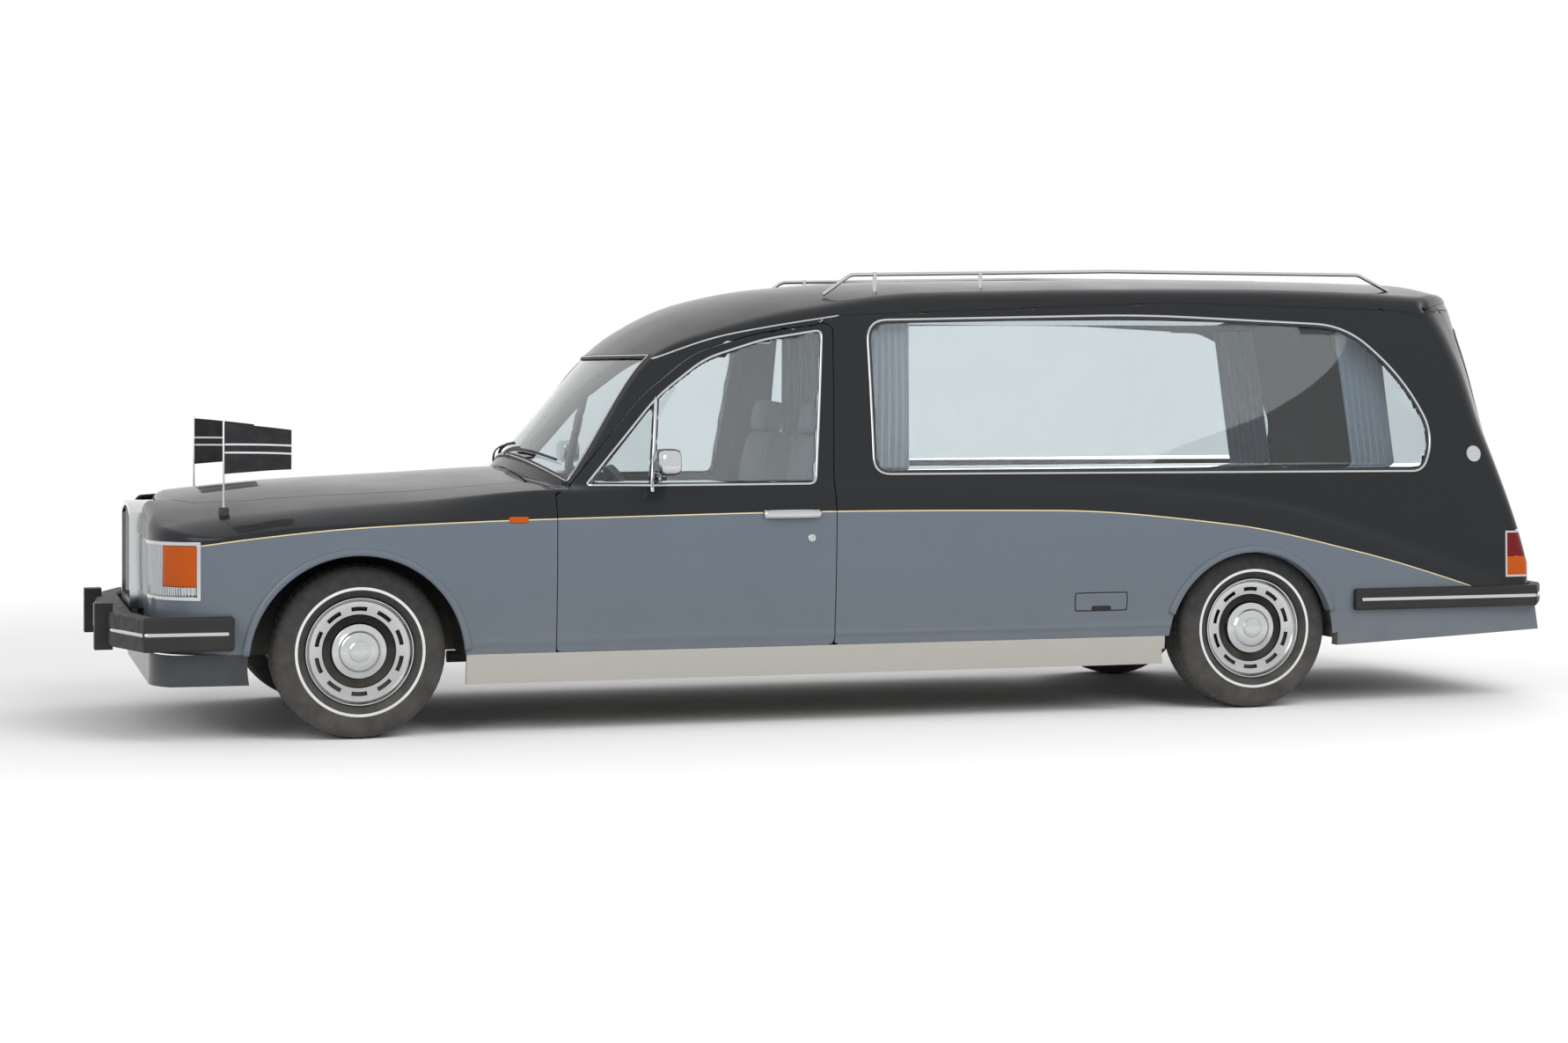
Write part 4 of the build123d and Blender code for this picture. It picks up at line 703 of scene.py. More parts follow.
# two-tone line: heights of the gold coachline along the car
toneKnots = np.array([(2.80, 0.770), (2.60, 0.797), (2.20, 0.834), (1.80, 0.851), (1.39, 0.861), (0.2345, 0.876),
                      (-0.7295, 0.867), (-1.5365, 0.796), (-2.1625, 0.664), (-2.5985, 0.540), (-2.90, 0.440)])


def tone(points):
    line = easeCurve(points[:, 0], toneKnots[:, 0], toneKnots[:, 1])
    return {"tone": points[:, 2] - np.where(points[:, 0] < -2.9, 0.2, line)}


def stack(x, y, z):
    return np.stack(np.broadcast_arrays(x, y, z), -1).astype(float)


def boxInside(*depths):  # positive inside all of the given half spaces
    return np.minimum.reduce(np.broadcast_arrays(*depths))


# roof with its pillars, from one side round to the other
roofSizes = {"frontX": 1.54, "skirt": 0.17, "cells": (240, 104), "wall": 0.012, "straight": 0.92}


def roofSection(x, b):
    # b runs from the left skirt over the roof to the right one: first comes the side, then the rolled
    # corner, then the roof's parabola; also how far the surface has turned from side to top
    s = np.abs(2 * b - 1)
    edgeY, edgeZ, roofZ = upperAt(x)[4:]
    across, up = roofCorner(x)
    low = up[0] - roofSizes["skirt"] * np.clip((s - 0.78) / 0.22, 0, 1)
    u = np.clip((0.78 - s) / 0.18, 0, 1)
    w = edgeY * np.clip(s / 0.60, 0, 1)
    y = np.where(s > 0.78, upperSide(x, low), np.where(s > 0.60, bend(across, u), w))
    z = np.where(s > 0.78, low, np.where(s > 0.60, bend(up, u), roofZ - (roofZ - edgeZ) * (w / edgeY) ** 2))
    return y * np.where(b < 0.5, 1, -1), z, u * np.pi / 2


def roofPlace(a, b):
    # a runs rearward to the tail; its last part is a quarter circle over onto the tail's face, moved
    # along the section's normal
    rear = np.full_like(b, -2.8)
    for _ in range(10):
        y, z, turn = roofSection(rear, b)
        radius = tailBow["edge"][0] + tailBow["edge"][1] * np.minimum((y / 0.6) ** 2, 1.5)
        rear = tailFace(y, z) + radius
    x = roofSizes["frontX"] + (rear - roofSizes["frontX"]) * np.clip(a / roofSizes["straight"], 0, 1)
    y, z, turn = roofSection(x, b)
    roll = np.clip((a - roofSizes["straight"]) / (1 - roofSizes["straight"]), 0, 1) * np.pi / 2
    drop = radius * (1 - np.cos(roll))
    side = np.where(b < 0.5, 1, -1)
    return stack(x - radius * np.sin(roll), y - drop * np.cos(turn) * side, z - drop * np.sin(turn))


roofEnd = roofPlace(np.ones(141), np.linspace(0.11, 0.89, 141))
roofRear = np.vstack([[(1.2, 0.2), (1.2, roofEnd[0, 2])], roofEnd[:, 1:], [(-1.2, roofEnd[-1, 2]), (-1.2, 0.2)]])


# body sides with the tail's corner
bodySide = {
    "frontX": 0.229,
    "cornerRadius": 0.045,
    "wall": 0.040,
    "cells": (236, 104),
    "sideShare": 0.80,
    "cornerShare": 0.05,
    "rows": ((0, 0.10, 0.18, 0.36, 0.64, 1), (0.3263, 0.355, 0.395, 0.76, 1.00, 1.80)),
    "lampFront": -2.8958,
    "lampInner": 0.712,
    "lampLow": 0.545,
    "lampTop": 0.742,
}


def sideAndTail(frontX, rows):
    # a runs rearward along the side, round the corner and inwards over the tail, and b runs upwards;
    # the corner is a quadratic curve about the point where side and tail would meet
    def place(a, b):
        z = np.interp(b, *rows)
        y = np.full_like(z, 0.85)
        for _ in range(14):
            y = sideY(tailFace(y, z), z)
        x, r = tailFace(y, z), bodySide["cornerRadius"]
        u = np.clip(a / bodySide["sideShare"], 0, 1)
        alongX = frontX + (x + r - frontX) * u
        side = stack(alongX, sideY(alongX, z), z)
        t = np.clip((a - bodySide["sideShare"]) / bodySide["cornerShare"], 0, 1)[..., None]
        turn = bend((stack(x + r, sideY(x + r, z), z), stack(x, y, z), stack(tailFace(y - r, z), y - r, z)), t)
        last = bodySide["sideShare"] + bodySide["cornerShare"]
        inY = (y - r) * (1 - np.clip((a - last) / (1 - last), 0, 1))
        tail = stack(tailFace(inY, z), inY, z)
        onSide, onTail = (a <= bodySide["sideShare"])[..., None], (a >= last)[..., None]
        return np.where(onSide, side, np.where(onTail, tail, turn))
    return place


def tailLampDepth(p):
    return boxInside(bodySide["lampFront"] - p[..., 0], p[..., 1] - bodySide["lampInner"],
                     p[..., 2] - bodySide["lampLow"], bodySide["lampTop"] - p[..., 2])


def tailgateDepth(p):  # positive inside the tailgate's outline, on the tail only
    return np.where(p[..., 0] < -2.70, -lineDistance(tailgateLine, p[..., 1], p[..., 2]), -1)


def bodySideEdge(p):
    x, y, z = p[..., 0], p[..., 1], p[..., 2]
    centre = arches["rear"][0]
    onTail = x - tailFace(y, z) < bodySide["cornerRadius"] * 0.9
    top = np.where(onTail, np.maximum(lineDistance(roofRear, y, z), np.minimum(z - 1.725, 0.640 - np.abs(y))),
                   z - gutterZ(x))
    return np.maximum.reduce([
        x - bodySide["frontX"],
        car["shutGap"] - lineDistance(doorLine, x, z),
        -lineDistance(windowLine, x, z),
        -archDistance(x, z, "rear"),
        np.where(x > centre, 0.3263, 0.4143) - z,
        top,
        tailgateDepth(p) + car["shutGap"],
        tailLampDepth(p),
    ])


def tailHeader(a, b):
    # the strip above the tailgate: a from left to right, b from the gate's top up to the roof's rear edge
    y = roofEnd[0, 1] * (1 - 2 * a)
    topX, topZ = (np.interp(y, roofEnd[::-1, 1], roofEnd[::-1, i]) for i in (0, 2))
    overGate = np.abs(y) < 0.590
    lowZ = np.where(overGate, tailgateLine[2, 1] + car["shutGap"], np.minimum(1.722, topZ - 0.03))
    low = stack(tailFace(y, lowZ) + np.where(overGate, 0, 0.002), y, lowZ)
    return low * (1 - b[..., None]) + stack(topX, y, topZ) * b[..., None]


sideSurface = sideAndTail(bodySide["frontX"] + 0.006, bodySide["rows"])
leftSide = trimmedSheet(sideSurface, bodySideEdge, bodySide["cells"])


def bothSides(name, sheet, body, material, replaced, attributes=None, thickness=0, bevel=0.0015,
              inner=None, sharp=None):
    # the left piece and its mirror image; body and replaced hold the name's last letters as {} or {s}
    made = []
    for side, short, (points, faces) in (("left", "l", sheet), ("right", "r", mirrorPoints(*sheet))):
        mesh = meshOf(f"{name}_{side}", points, faces)
        values = attributes(points) if attributes else None
        piece = addPiece(f"{name}_{side}", mesh, body.format(short), material,
                         [entry.format(side) for entry in replaced], values, sharp)
        if thickness:
            thicken(piece, thickness, bevel, inner)
        made.append(piece)
    return made


bothSides("body_side_panel", leftSide, "root", bodyPaint, ["body_side_{}"], tone,
          bodySide["wall"], inner=wallLining)
a, b = np.meshgrid(np.linspace(0, 1, 91), np.linspace(0, 1, 7), indexing="ij")
backY, backZ = 0.640 * (1 - 2 * a), 1.690 + (1.738 - 1.690) * b
backing = stack(tailFace(backY, backZ) + 0.052, backY, backZ)  # closes the slot above the gate from inside
header = addPiece("tail_header", meshOf("tail_header", *joinSheets(
    (tailHeader(a, b), [gridFaces(91, 7)]), (backing, [gridFaces(91, 7)]))), "root", darkPaint)
thicken(header, 0.006, 0)
print("body sides ready")

# doors
doorSizes = {"wall": 0.045, "cells": (98, 108), "low": 0.322, "top": 1.662}


def doorPlace(a, b):  # a runs rearward, b upwards, on the body's side
    x = 1.398 + (0.180 - 1.398) * a
    z = doorSizes["low"] + (doorSizes["top"] - doorSizes["low"]) * b
    return stack(x, sideY(x, z), z)


def doorOpening(x, z):  # negative inside the two panes, either side of the quarter bar
    return np.maximum(lineDistance(doorWindowLine, x, z), -lineDistance(barLine, x, z))


def doorEdge(p):
    x, z = p[..., 0], p[..., 2]
    return np.maximum(lineDistance(doorLine, x, z), -doorOpening(x, z))


leftDoor = trimmedSheet(doorPlace, doorEdge, doorSizes["cells"])
bothSides("door_panel", leftDoor, "door_{}", bodyPaint, ["door_{}"], tone, doorSizes["wall"],
          inner=doorTrim)
print("doors ready")

# glass, a little below the painted surface
glassSizes = {"inset": 0.006, "thickness": 0.005, "tuck": 0.004}


def doorGlassEdge(p):
    return lineDistance(doorWindowLine, p[..., 0], p[..., 2]) - glassSizes["tuck"]


doorGlass = trimmedSheet(insetOf(doorPlace, glassSizes["inset"]), doorGlassEdge, (70, 70))
bothSides("door_window", doorGlass, "door_{}", windowGlass, ["door_glass_{}"],
          thickness=glassSizes["thickness"], bevel=0)


def sideGlassEdge(p):
    return np.maximum(lineDistance(windowLine, p[..., 0], p[..., 2]) - glassSizes["tuck"], -2.7 - p[..., 0])


sideGlass = trimmedSheet(insetOf(sideSurface, glassSizes["inset"]), sideGlassEdge, (190, 60))
bothSides("side_window", sideGlass, "root", windowGlass, [],
          thickness=glassSizes["thickness"], bevel=0)

def screenDistance(p):  # negative inside the windscreen's opening, seen from ahead
    return np.where(p[..., 0] > 0.70, lineDistance(screenLine, p[..., 1], p[..., 2]), 1)


def roofEdge(p):
    x, y, z = p[..., 0], np.abs(p[..., 1]), p[..., 2]
    return np.maximum.reduce([
        np.where(x > 0.2325, car["shutGap"] - lineDistance(doorLine, x, z), -1),
        np.where(x <= 0.2325, gutterZ(x) - z, -1),
        -screenDistance(p),
        boxInside(0.7518 - y, 1.0958 - z),
        lowerTop(x, y) - 0.006 - z,
    ])


roofPiece = trimmedSheet(roofPlace, roofEdge, roofSizes["cells"])
roofPanel = addPiece("roof_panel", meshOf("roof_panel", *roofPiece), "root", darkPaint,
                     ["roof", "pillars"])
thicken(roofPanel, roofSizes["wall"], 0.0015, headlining)


def screenX(y, z):
    # the place along the car where the roof's front surface has a height: the range is halved each time
    low, high = np.full(np.shape(z), 0.70), np.full(np.shape(z), 1.535)
    for _ in range(26):
        middle = (low + high) / 2
        above = roofTopZ(middle, y) > z
        low, high = np.where(above, middle, low), np.where(above, high, middle)
    return (low + high) / 2


def screenPlace(a, b):  # a runs from right to left, b upwards
    y, z = -0.80 + 1.60 * a, 0.96 + (1.55 - 0.96) * b
    return stack(screenX(y, z), y, z)


def screenNormal(x, y):  # outward normal of the roof's front surface: minus its slopes, and one
    step = 0.003
    slopeX = (roofTopZ(x + step, y) - roofTopZ(x - step, y)) / (2 * step)
    slopeY = (roofTopZ(x, y + step) - roofTopZ(x, y - step)) / (2 * step)
    n = np.column_stack([-slopeX, -slopeY, np.ones_like(x)])
    return n / np.linalg.norm(n, axis=1)[:, None]


screenPaneLine = np.where((screenLine[:, 1] < 1.2)[:, None], screenLine - (0, 0.022), screenLine)


def screenGlassEdge(p):
    return lineDistance(screenPaneLine, p[..., 1], p[..., 2]) - glassSizes["tuck"]


screenGlass = trimmedSheet(insetOf(screenPlace, glassSizes["inset"]), screenGlassEdge, (80, 44))
windscreen = addPiece("windscreen", meshOf("windscreen", *screenGlass), "root", windowGlass,
                      ["fixed_glass"])
thicken(windscreen, glassSizes["thickness"], 0)
print("roof ready")

# tailgate
tailgateSizes = {"wall": 0.042, "cells": (84, 84)}


def tailgatePlace(a, b):  # a runs from left to right, b upwards, on the tail's face
    y = 0.72 - 1.44 * a
    z = 0.515 + (1.745 - 0.515) * b
    return stack(tailFace(y, z), y, z)


def tailgateEdge(p):
    y, z = p[..., 1], p[..., 2]
    return np.maximum(lineDistance(tailgateLine, y, z), -lineDistance(tailWindowLine, y, z))


tailgatePiece = trimmedSheet(tailgatePlace, tailgateEdge, tailgateSizes["cells"])
tailgatePanel = addPiece("tailgate_panel", meshOf("tailgate_panel", *tailgatePiece), "tailgate_lid", darkPaint,
                         ["tailgate"])
thicken(tailgatePanel, tailgateSizes["wall"], 0.0015, doorTrim)


def tailGlassEdge(p):
    return lineDistance(tailWindowLine, p[..., 1], p[..., 2]) - glassSizes["tuck"]


tailGlass = trimmedSheet(insetOf(tailgatePlace, glassSizes["inset"]), tailGlassEdge, (60, 60))
tailPane = addPiece("tailgate_window", meshOf("tailgate_window", *tailGlass), "tailgate_lid", windowGlass,
                    ["tailgate_glass"])
thicken(tailPane, glassSizes["thickness"], 0)

# front wings
wingSizes = {
    "rearX": 1.394,
    "frontStart": 2.66,
    "noseX": 2.9675,
    "frontEndY": 0.2825,
    "noseRadius": 0.045,
    "wall": 0.008,
    "cells": (190, 74),
    "lampX": 2.7875,
    "lampInner": 0.395,
    "lampLow": 0.563,
    "lampTop": 0.783,
}


def wingOutline(t):
    # the wing's edge in plan: along the shoulder to where the nose begins, a cubic curve round the
    # nose, then straight across to the grille
    sideEnd = (wingSizes["frontStart"], float(lowerAt(np.array([wingSizes["frontStart"]]))[1][0]))
    noseEnd = (wingSizes["noseX"], 0.60)
    sideX = wingSizes["rearX"] + (sideEnd[0] - wingSizes["rearX"]) * np.clip(t / 0.60, 0, 1)
    u = np.clip((t - 0.60) / 0.24, 0, 1)
    v = np.clip((t - 0.84) / 0.16, 0, 1)
    c1, c2 = (2.835, 0.900), (2.955, 0.800)
    k = ((1 - u) ** 3, 3 * u * (1 - u) ** 2, 3 * u * u * (1 - u), u ** 3)
    curve = [k[0] * sideEnd[i] + k[1] * c1[i] + k[2] * c2[i] + k[3] * noseEnd[i] for i in (0, 1)]
    x = np.where(t <= 0.60, sideX, np.where(t <= 0.84, curve[0], wingSizes["noseX"]))
    y = np.where(t <= 0.60, lowerAt(sideX)[1], np.where(t <= 0.84, curve[1],
                                                        0.60 + (wingSizes["frontEndY"] - 0.60) * v))
    return x, y


def wingPlace(a, b):
    # a runs rearward from the grille, b up the wall and then inwards over the top; the wall leans in
    # from the edge as the lower body does, and the top's height is the lower body's, less a rounded
    # edge that grows round the nose
    t = 1 - a
    x, y = wingOutline(t)
    ahead, behind = wingOutline(np.minimum(t + 1e-3, 1)), wingOutline(np.maximum(t - 1e-3, 0))
    nx, ny = -(ahead[1] - behind[1]), ahead[0] - behind[0]
    size = np.hypot(nx, ny) + 1e-12
    nx, ny = nx / size, ny / size
    front = np.clip((t - 0.60) / 0.24, 0, 1)
    radius = wingSizes["noseRadius"] * front * front * (3 - 2 * front)
    rim = lowerTop(x, y) - radius
    low = 0.3263 + (0.348 - 0.3263) * np.clip((x - 2.16) / 0.02, 0, 1)
    z = low + (rim - low) * np.clip(b / 0.62, 0, 1)
    lean = lowerAt(x)[1] - lowerSide(x, np.minimum(z, lowerAt(x)[3]))
    flare = archFlare(x, z) + 0.004 * np.exp(-((z - 0.372) / 0.010) ** 2) * (x < 2.2)
    flare = flare * (1 - np.clip((t - 0.60) / 0.12, 0, 1))
    wall = stack(x - nx * (lean - flare), y - ny * (lean - flare), z)
    innerX = np.clip(x, wingSizes["rearX"], 2.80)
    innerY = np.interp(innerX, bonnetEdge[::-1, 0], bonnetEdge[::-1, 1]) - 0.03
    r = np.clip((b - 0.62) / 0.38, 0, 1) ** 1.35
    topX, topY = x + (innerX - x) * r, y + (innerY - y) * r
    near = np.clip(1 - np.hypot(topX - x, topY - y) / (radius + 1e-6), 0, 1)
    fall = radius * (1 - np.sqrt(np.clip(1 - near ** 2, 0, 1)))
    top = stack(topX, topY, lowerTop(topX, topY) - fall)
    return np.where((b <= 0.62)[..., None], wall, top)


def headLampDepth(p):
    return boxInside(p[..., 0] - wingSizes["lampX"], p[..., 1] - wingSizes["lampInner"],
                     p[..., 2] - wingSizes["lampLow"], wingSizes["lampTop"] - p[..., 2])


def wingEdge(p):
    x, y, z = p[..., 0], p[..., 1], p[..., 2]
    return np.maximum.reduce([
        car["doorFrontX"] + car["shutGap"] - x,
        wingSizes["frontEndY"] - y,
        car["shutGap"] - lineDistance(bonnetLine, x, y),
        -archDistance(x, z, "front"),
        headLampDepth(p),
        boxInside(car["bonnetRearX"] - x, 0.815 - y),
    ])


leftWing = trimmedSheet(wingPlace, wingEdge, wingSizes["cells"])
bothSides("wing_panel", leftWing, "root", bodyPaint, ["wing_{}"], tone, wingSizes["wall"],
          inner=underbody)

# bonnet
bonnetSizes = {"wall": 0.010, "cells": (100, 76), "frontX": 2.9035, "rearX": 1.4735, "roll": 0.058}


def bonnetPlace(a, b):
    # a runs rearward, in smaller steps at the front, b from left to right, on the lower body's top;
    # the front edge rolls down by a quarter circle
    x = bonnetSizes["frontX"] + (1.462 - bonnetSizes["frontX"]) * a * (0.25 + 0.75 * a)
    y = 0.70 - 1.40 * b
    radius = bonnetSizes["roll"]
    near = np.clip(1 - (bonnetSizes["frontX"] - x) / radius, 0, 1)
    return stack(x, y, lowerTop(x, y) - radius * (1 - np.sqrt(1 - near ** 2)))


def bonnetGap(p):
    return np.maximum(lineDistance(bonnetLine, p[..., 0], p[..., 1]), bonnetSizes["rearX"] - p[..., 0])


bonnetPiece = trimmedSheet(bonnetPlace, bonnetGap, bonnetSizes["cells"])
bonnetPanel = addPiece("bonnet_panel", meshOf("bonnet_panel", *bonnetPiece), "bonnet_lid", darkPaint,
                       ["bonnet"])
thicken(bonnetPanel, bonnetSizes["wall"], 0.0015, underbody)
print("wings and bonnet ready")

# tyres and wheel trims
wheelSizes = {
    "places": {"wheel_fl": (2.1675, 0.770), "wheel_fr": (2.1675, -0.770), "wheel_rl": (-1.6625, 0.770),
               "wheel_rr": (-1.6625, -0.770)},
    "height": 0.345,
    "turns": 240,
}
tyreHalf = np.array([  # radius and place outwards from the tread's middle to the bead
    (0.3450, 0.000), (0.3450, 0.018), (0.3385, 0.019), (0.3385, 0.026), (0.3445, 0.027), (0.3440, 0.056),
    (0.3375, 0.057), (0.3375, 0.064), (0.3425, 0.065), (0.3400, 0.083), (0.3350, 0.095), (0.3280, 0.103),
    (0.3180, 0.1095), (0.3000, 0.1150), (0.2800, 0.1172), (0.2620, 0.1175), (0.2560, 0.1178), (0.2440, 0.1174),
    (0.2380, 0.1150), (0.2280, 0.1090), (0.2190, 0.1000), (0.2150, 0.0900), (0.2143, 0.0700),
])
tyreProfile = np.vstack([tyreHalf[::-1] * (1, -1), tyreHalf[1:]])
trimProfile = np.array([  # radius and place outwards, from the rim's back over its lip to the hub cap's middle
    (0.0004, 0.020), (0.1650, 0.020), (0.1850, -0.085), (0.2080, -0.098), (0.2140, -0.094), (0.2140, 0.060),
    (0.2143, 0.070), (0.2145, 0.096), (0.2120, 0.1000), (0.2080, 0.0995), (0.2040, 0.094),
    (0.2010, 0.086), (0.1960, 0.082), (0.1850, 0.0815), (0.1765, 0.080), (0.1755, 0.0798), (0.1610, 0.077),
    (0.1600, 0.0768), (0.1460, 0.073), (0.1442, 0.070), (0.1425, 0.066), (0.1130, 0.064), (0.1110, 0.066),
    (0.1100, 0.074), (0.1070, 0.079), (0.1000, 0.082), (0.0850, 0.084), (0.0800, 0.088), (0.0760, 0.094),
    (0.0700, 0.097), (0.0500, 0.099), (0.0430, 0.0995), (0.0415, 0.104), (0.0380, 0.1065), (0.0200, 0.108),
    (0.0004, 0.1085),
])


def wheelMesh(place, profile, change):
    # the profile turned about the axle; change moves points by their angle round it
    side = 1 if place[1] > 0 else -1
    angle = np.linspace(0, 2 * np.pi, wheelSizes["turns"], endpoint=False)[None, :]
    r, out, label = change(profile[:, :1] + 0 * angle, profile[:, 1:] + 0 * angle, angle)
    points = stack(place[0] + r * np.cos(angle), place[1] + side * out, wheelSizes["height"] + r * np.sin(angle))
    faces = gridFaces(len(profile), wheelSizes["turns"], closedColumns=True)
    return points.reshape(-1, 3), [faces if side < 0 else faces[:, ::-1]], label.ravel()


def treadBlocks(r, out, angle):
    # cross grooves: the outer ribs drop where a wave of the angle, slanted by the place, is at its foot
    wave = np.cos(60 * angle + 18 * np.abs(out) / 0.1)
    rib = (np.abs(out) > 0.03) & (r > 0.338)
    return r - np.where(rib & (wave < -0.7), 0.005, 0), out, r


def trimSlots(r, out, angle):
    # ten slots: the face drops where the angle is near a tenth of a turn and the radius in the band; the slots take
    # the dark ring's near-black colour, painted shade for openings that are only shallow dips here
    away = np.abs((angle * 10 / (2 * np.pi)) % 1 - 0.5)
    inSlot = (away < 0.26) & (r > 0.1605) & (r < 0.1760)
    return r, out - np.where(inSlot, 0.012, 0), np.where(inSlot, 0.12, r)


wheelNames = {"fl": "front_left", "fr": "front_right", "rl": "rear_left", "rr": "rear_right"}
for body, place in wheelSizes["places"].items():
    short = body[-2:]
    points, faces, radius = wheelMesh(place, tyreProfile, treadBlocks)
    closing = gridFaces(2, wheelSizes["turns"], closedColumns=True)
    count = len(points) - wheelSizes["turns"]
    closing = np.where(closing < wheelSizes["turns"], closing + count, closing - wheelSizes["turns"])
    faces.append(closing if place[1] < 0 else closing[:, ::-1])
    addPiece(f"tyre_shape_{short}", meshOf(f"tyre_shape_{short}", points, faces), body, tyreRubber,
             [f"tyre_{wheelNames[short]}"], {"radius": radius}, 40)
    points, faces, radius = wheelMesh(place, trimProfile, trimSlots)
    addPiece(f"wheel_trim_{short}", meshOf(f"wheel_trim_{short}", points, faces), body, wheelTrim,
             [f"rim_{wheelNames[short]}"], {"radius": radius}, 35)
print("wheels ready")


def curvePath(knots, steps, closed=False):
    # a Catmull-Rom line through the knots: each run is the cubic whose end slopes are half the way
    # between its two neighbours
    knots = np.asarray(knots, float)
    if closed:
        whole = np.vstack([knots[-1], knots, knots[:2]])
    else:
        whole = np.vstack([2 * knots[0] - knots[1], knots, 2 * knots[-1] - knots[-2]])
    t = np.linspace(0, 1, steps, endpoint=False)[None, :, None]
    p0, p1, p2, p3 = (whole[i:len(whole) - 3 + i, None] for i in range(4))
    runs = 0.5 * (2 * p1 + (p2 - p0) * t + (2 * p0 - 5 * p1 + 4 * p2 - p3) * t ** 2
                  + (3 * p1 - p0 - 3 * p2 + p3) * t ** 3)
    line = runs.reshape(-1, knots.shape[1])
    return line if closed else np.vstack([line, knots[-1]])


def evenLine(line, spacing, closed=False):  # the same line in even steps
    line = np.vstack([line, line[:1]]) if closed else np.asarray(line)
    run = np.concatenate([[0], np.cumsum(np.linalg.norm(np.diff(line, axis=0), axis=1))])
    count = max(int(run[-1] / spacing), 2)
    at = np.linspace(0, run[-1], count + 1)
    even = np.column_stack([np.interp(at, run, line[:, i]) for i in range(line.shape[1])])
    return even[:-1] if closed else even


def sideNormal(x, z):  # outward normal of the body's left side: minus the slopes of its half width
    step = 0.004
    slopeX = (sideY(x + step, z) - sideY(x - step, z)) / (2 * step)
    slopeZ = (sideY(x, z + step) - sideY(x, z - step)) / (2 * step)
    n = np.column_stack([-slopeX, np.ones_like(x), -slopeZ])
    return n / np.linalg.norm(n, axis=1)[:, None]


def sideBead(line, profile, closed=False, lift=0.0):
    # a bead laid along a side-view line on the body's side; profile is (across, outwards)
    x, z = line[:, 0], line[:, 1]
    n = sideNormal(x, z)
    path = np.column_stack([x, sideY(x, z), z]) + n * lift
    return sweep(path, profile, n, closed)


def halfRound(width, height, steps=7):  # closed profile: a low dome on a flat foot sunk a little
    angle = np.linspace(0, np.pi, steps)
    dome = np.column_stack([np.cos(angle) * width / 2, np.sin(angle) * height])
    return np.vstack([dome, [(-width / 2, -0.003), (width / 2, -0.003)]])


# bright beads and strips on the sides
beadSizes = {"window": (0.011, 0.006), "gutter": (0.008, 0.007), "step": 0.016}
windowBead = sideBead(evenLine(windowLine, 0.014, True), halfRound(*beadSizes["window"]), True)
bothSides("window_bead", windowBead, "root", chrome, [])
doorBeads = joinSheets(
    sideBead(evenLine(doorWindowLine, 0.014, True), halfRound(*beadSizes["window"]), True),
    sideBead(evenLine(np.array([barLine[[0, 3]].mean(0), barLine[[1, 2]].mean(0)]), beadSizes["step"]),
             halfRound(0.016, 0.007)),
)
bothSides("door_beads", doorBeads, "door_{}", chrome, [])
gutterRun = np.array([(0.95, 1.500), (0.70, 1.585), (0.45, 1.637), (0.156, 1.684)])
gutterStrip = sideBead(evenLine(curvePath(gutterRun, 12), 0.02), halfRound(*beadSizes["gutter"]))
bothSides("gutter_strip", gutterStrip, "root", stainless, [])
rubberLine = evenLine(windowLine, 0.016, True)
rubber = sideBead(rubberLine, oval(0.030, 0.006, 10), True, -0.0035)
bothSides("window_rubber", rubber, "root", trimBlack, [])


# door handles, locks, side repeaters, round disc and flap handle on the sides
def sidePad(x0, x1, z0, z1, rounding, proud, cells=(24, 14), crown=0.3):
    # a raised pad on the body's side: a squarish oval whose height over the side falls off towards
    # its edge as the power of the distance from the middle
    def place(a, b):
        u, v = 2 * a - 1, 2 * b - 1
        stretchU = u * np.sqrt(1 - v * v / 2)
        stretchV = v * np.sqrt(1 - u * u / 2)
        px, pz = (1 - rounding) * u + rounding * stretchU, (1 - rounding) * v + rounding * stretchV
        x = (x0 + x1) / 2 + px * (x0 - x1) / 2
        z = (z0 + z1) / 2 + pz * (z1 - z0) / 2
        edge = np.maximum(np.abs(u), np.abs(v))
        rise = np.where(edge >= 0.999, -0.002, proud * (1 - crown * edge ** 4))
        rise = np.where((edge > 0.9) & (edge < 0.999), proud * 0.6, rise)
        return stack(x, sideY(x, z) + rise, z)
    a, b = np.meshgrid(np.linspace(0, 1, cells[0] + 1), np.linspace(0, 1, cells[1] + 1), indexing="ij")
    return place(a, b).reshape(-1, 3), [gridFaces(cells[0] + 1, cells[1] + 1)]


def roundOnSide(x, z, profile, count=40):
    # a profile of radius and rise turned about the side's normal at one place
    n = sideNormal(np.array([x]), np.array([z]))[0]
    along = np.cross([0, 0, 1], n)
    along /= np.linalg.norm(along)
    up = np.cross(n, along)
    angle = np.linspace(0, 2 * np.pi, count, endpoint=False)[None, :, None]
    r, rise = np.asarray(profile)[:, 0][:, None, None], np.asarray(profile)[:, 1][:, None, None]
    centre = np.array([x, float(sideY(np.array([x]), np.array([z]))[0]), z])
    points = centre + r * (np.cos(angle) * along + np.sin(angle) * up) + rise * n
    return points.reshape(-1, 3), [gridFaces(len(profile), count, closedColumns=True)]


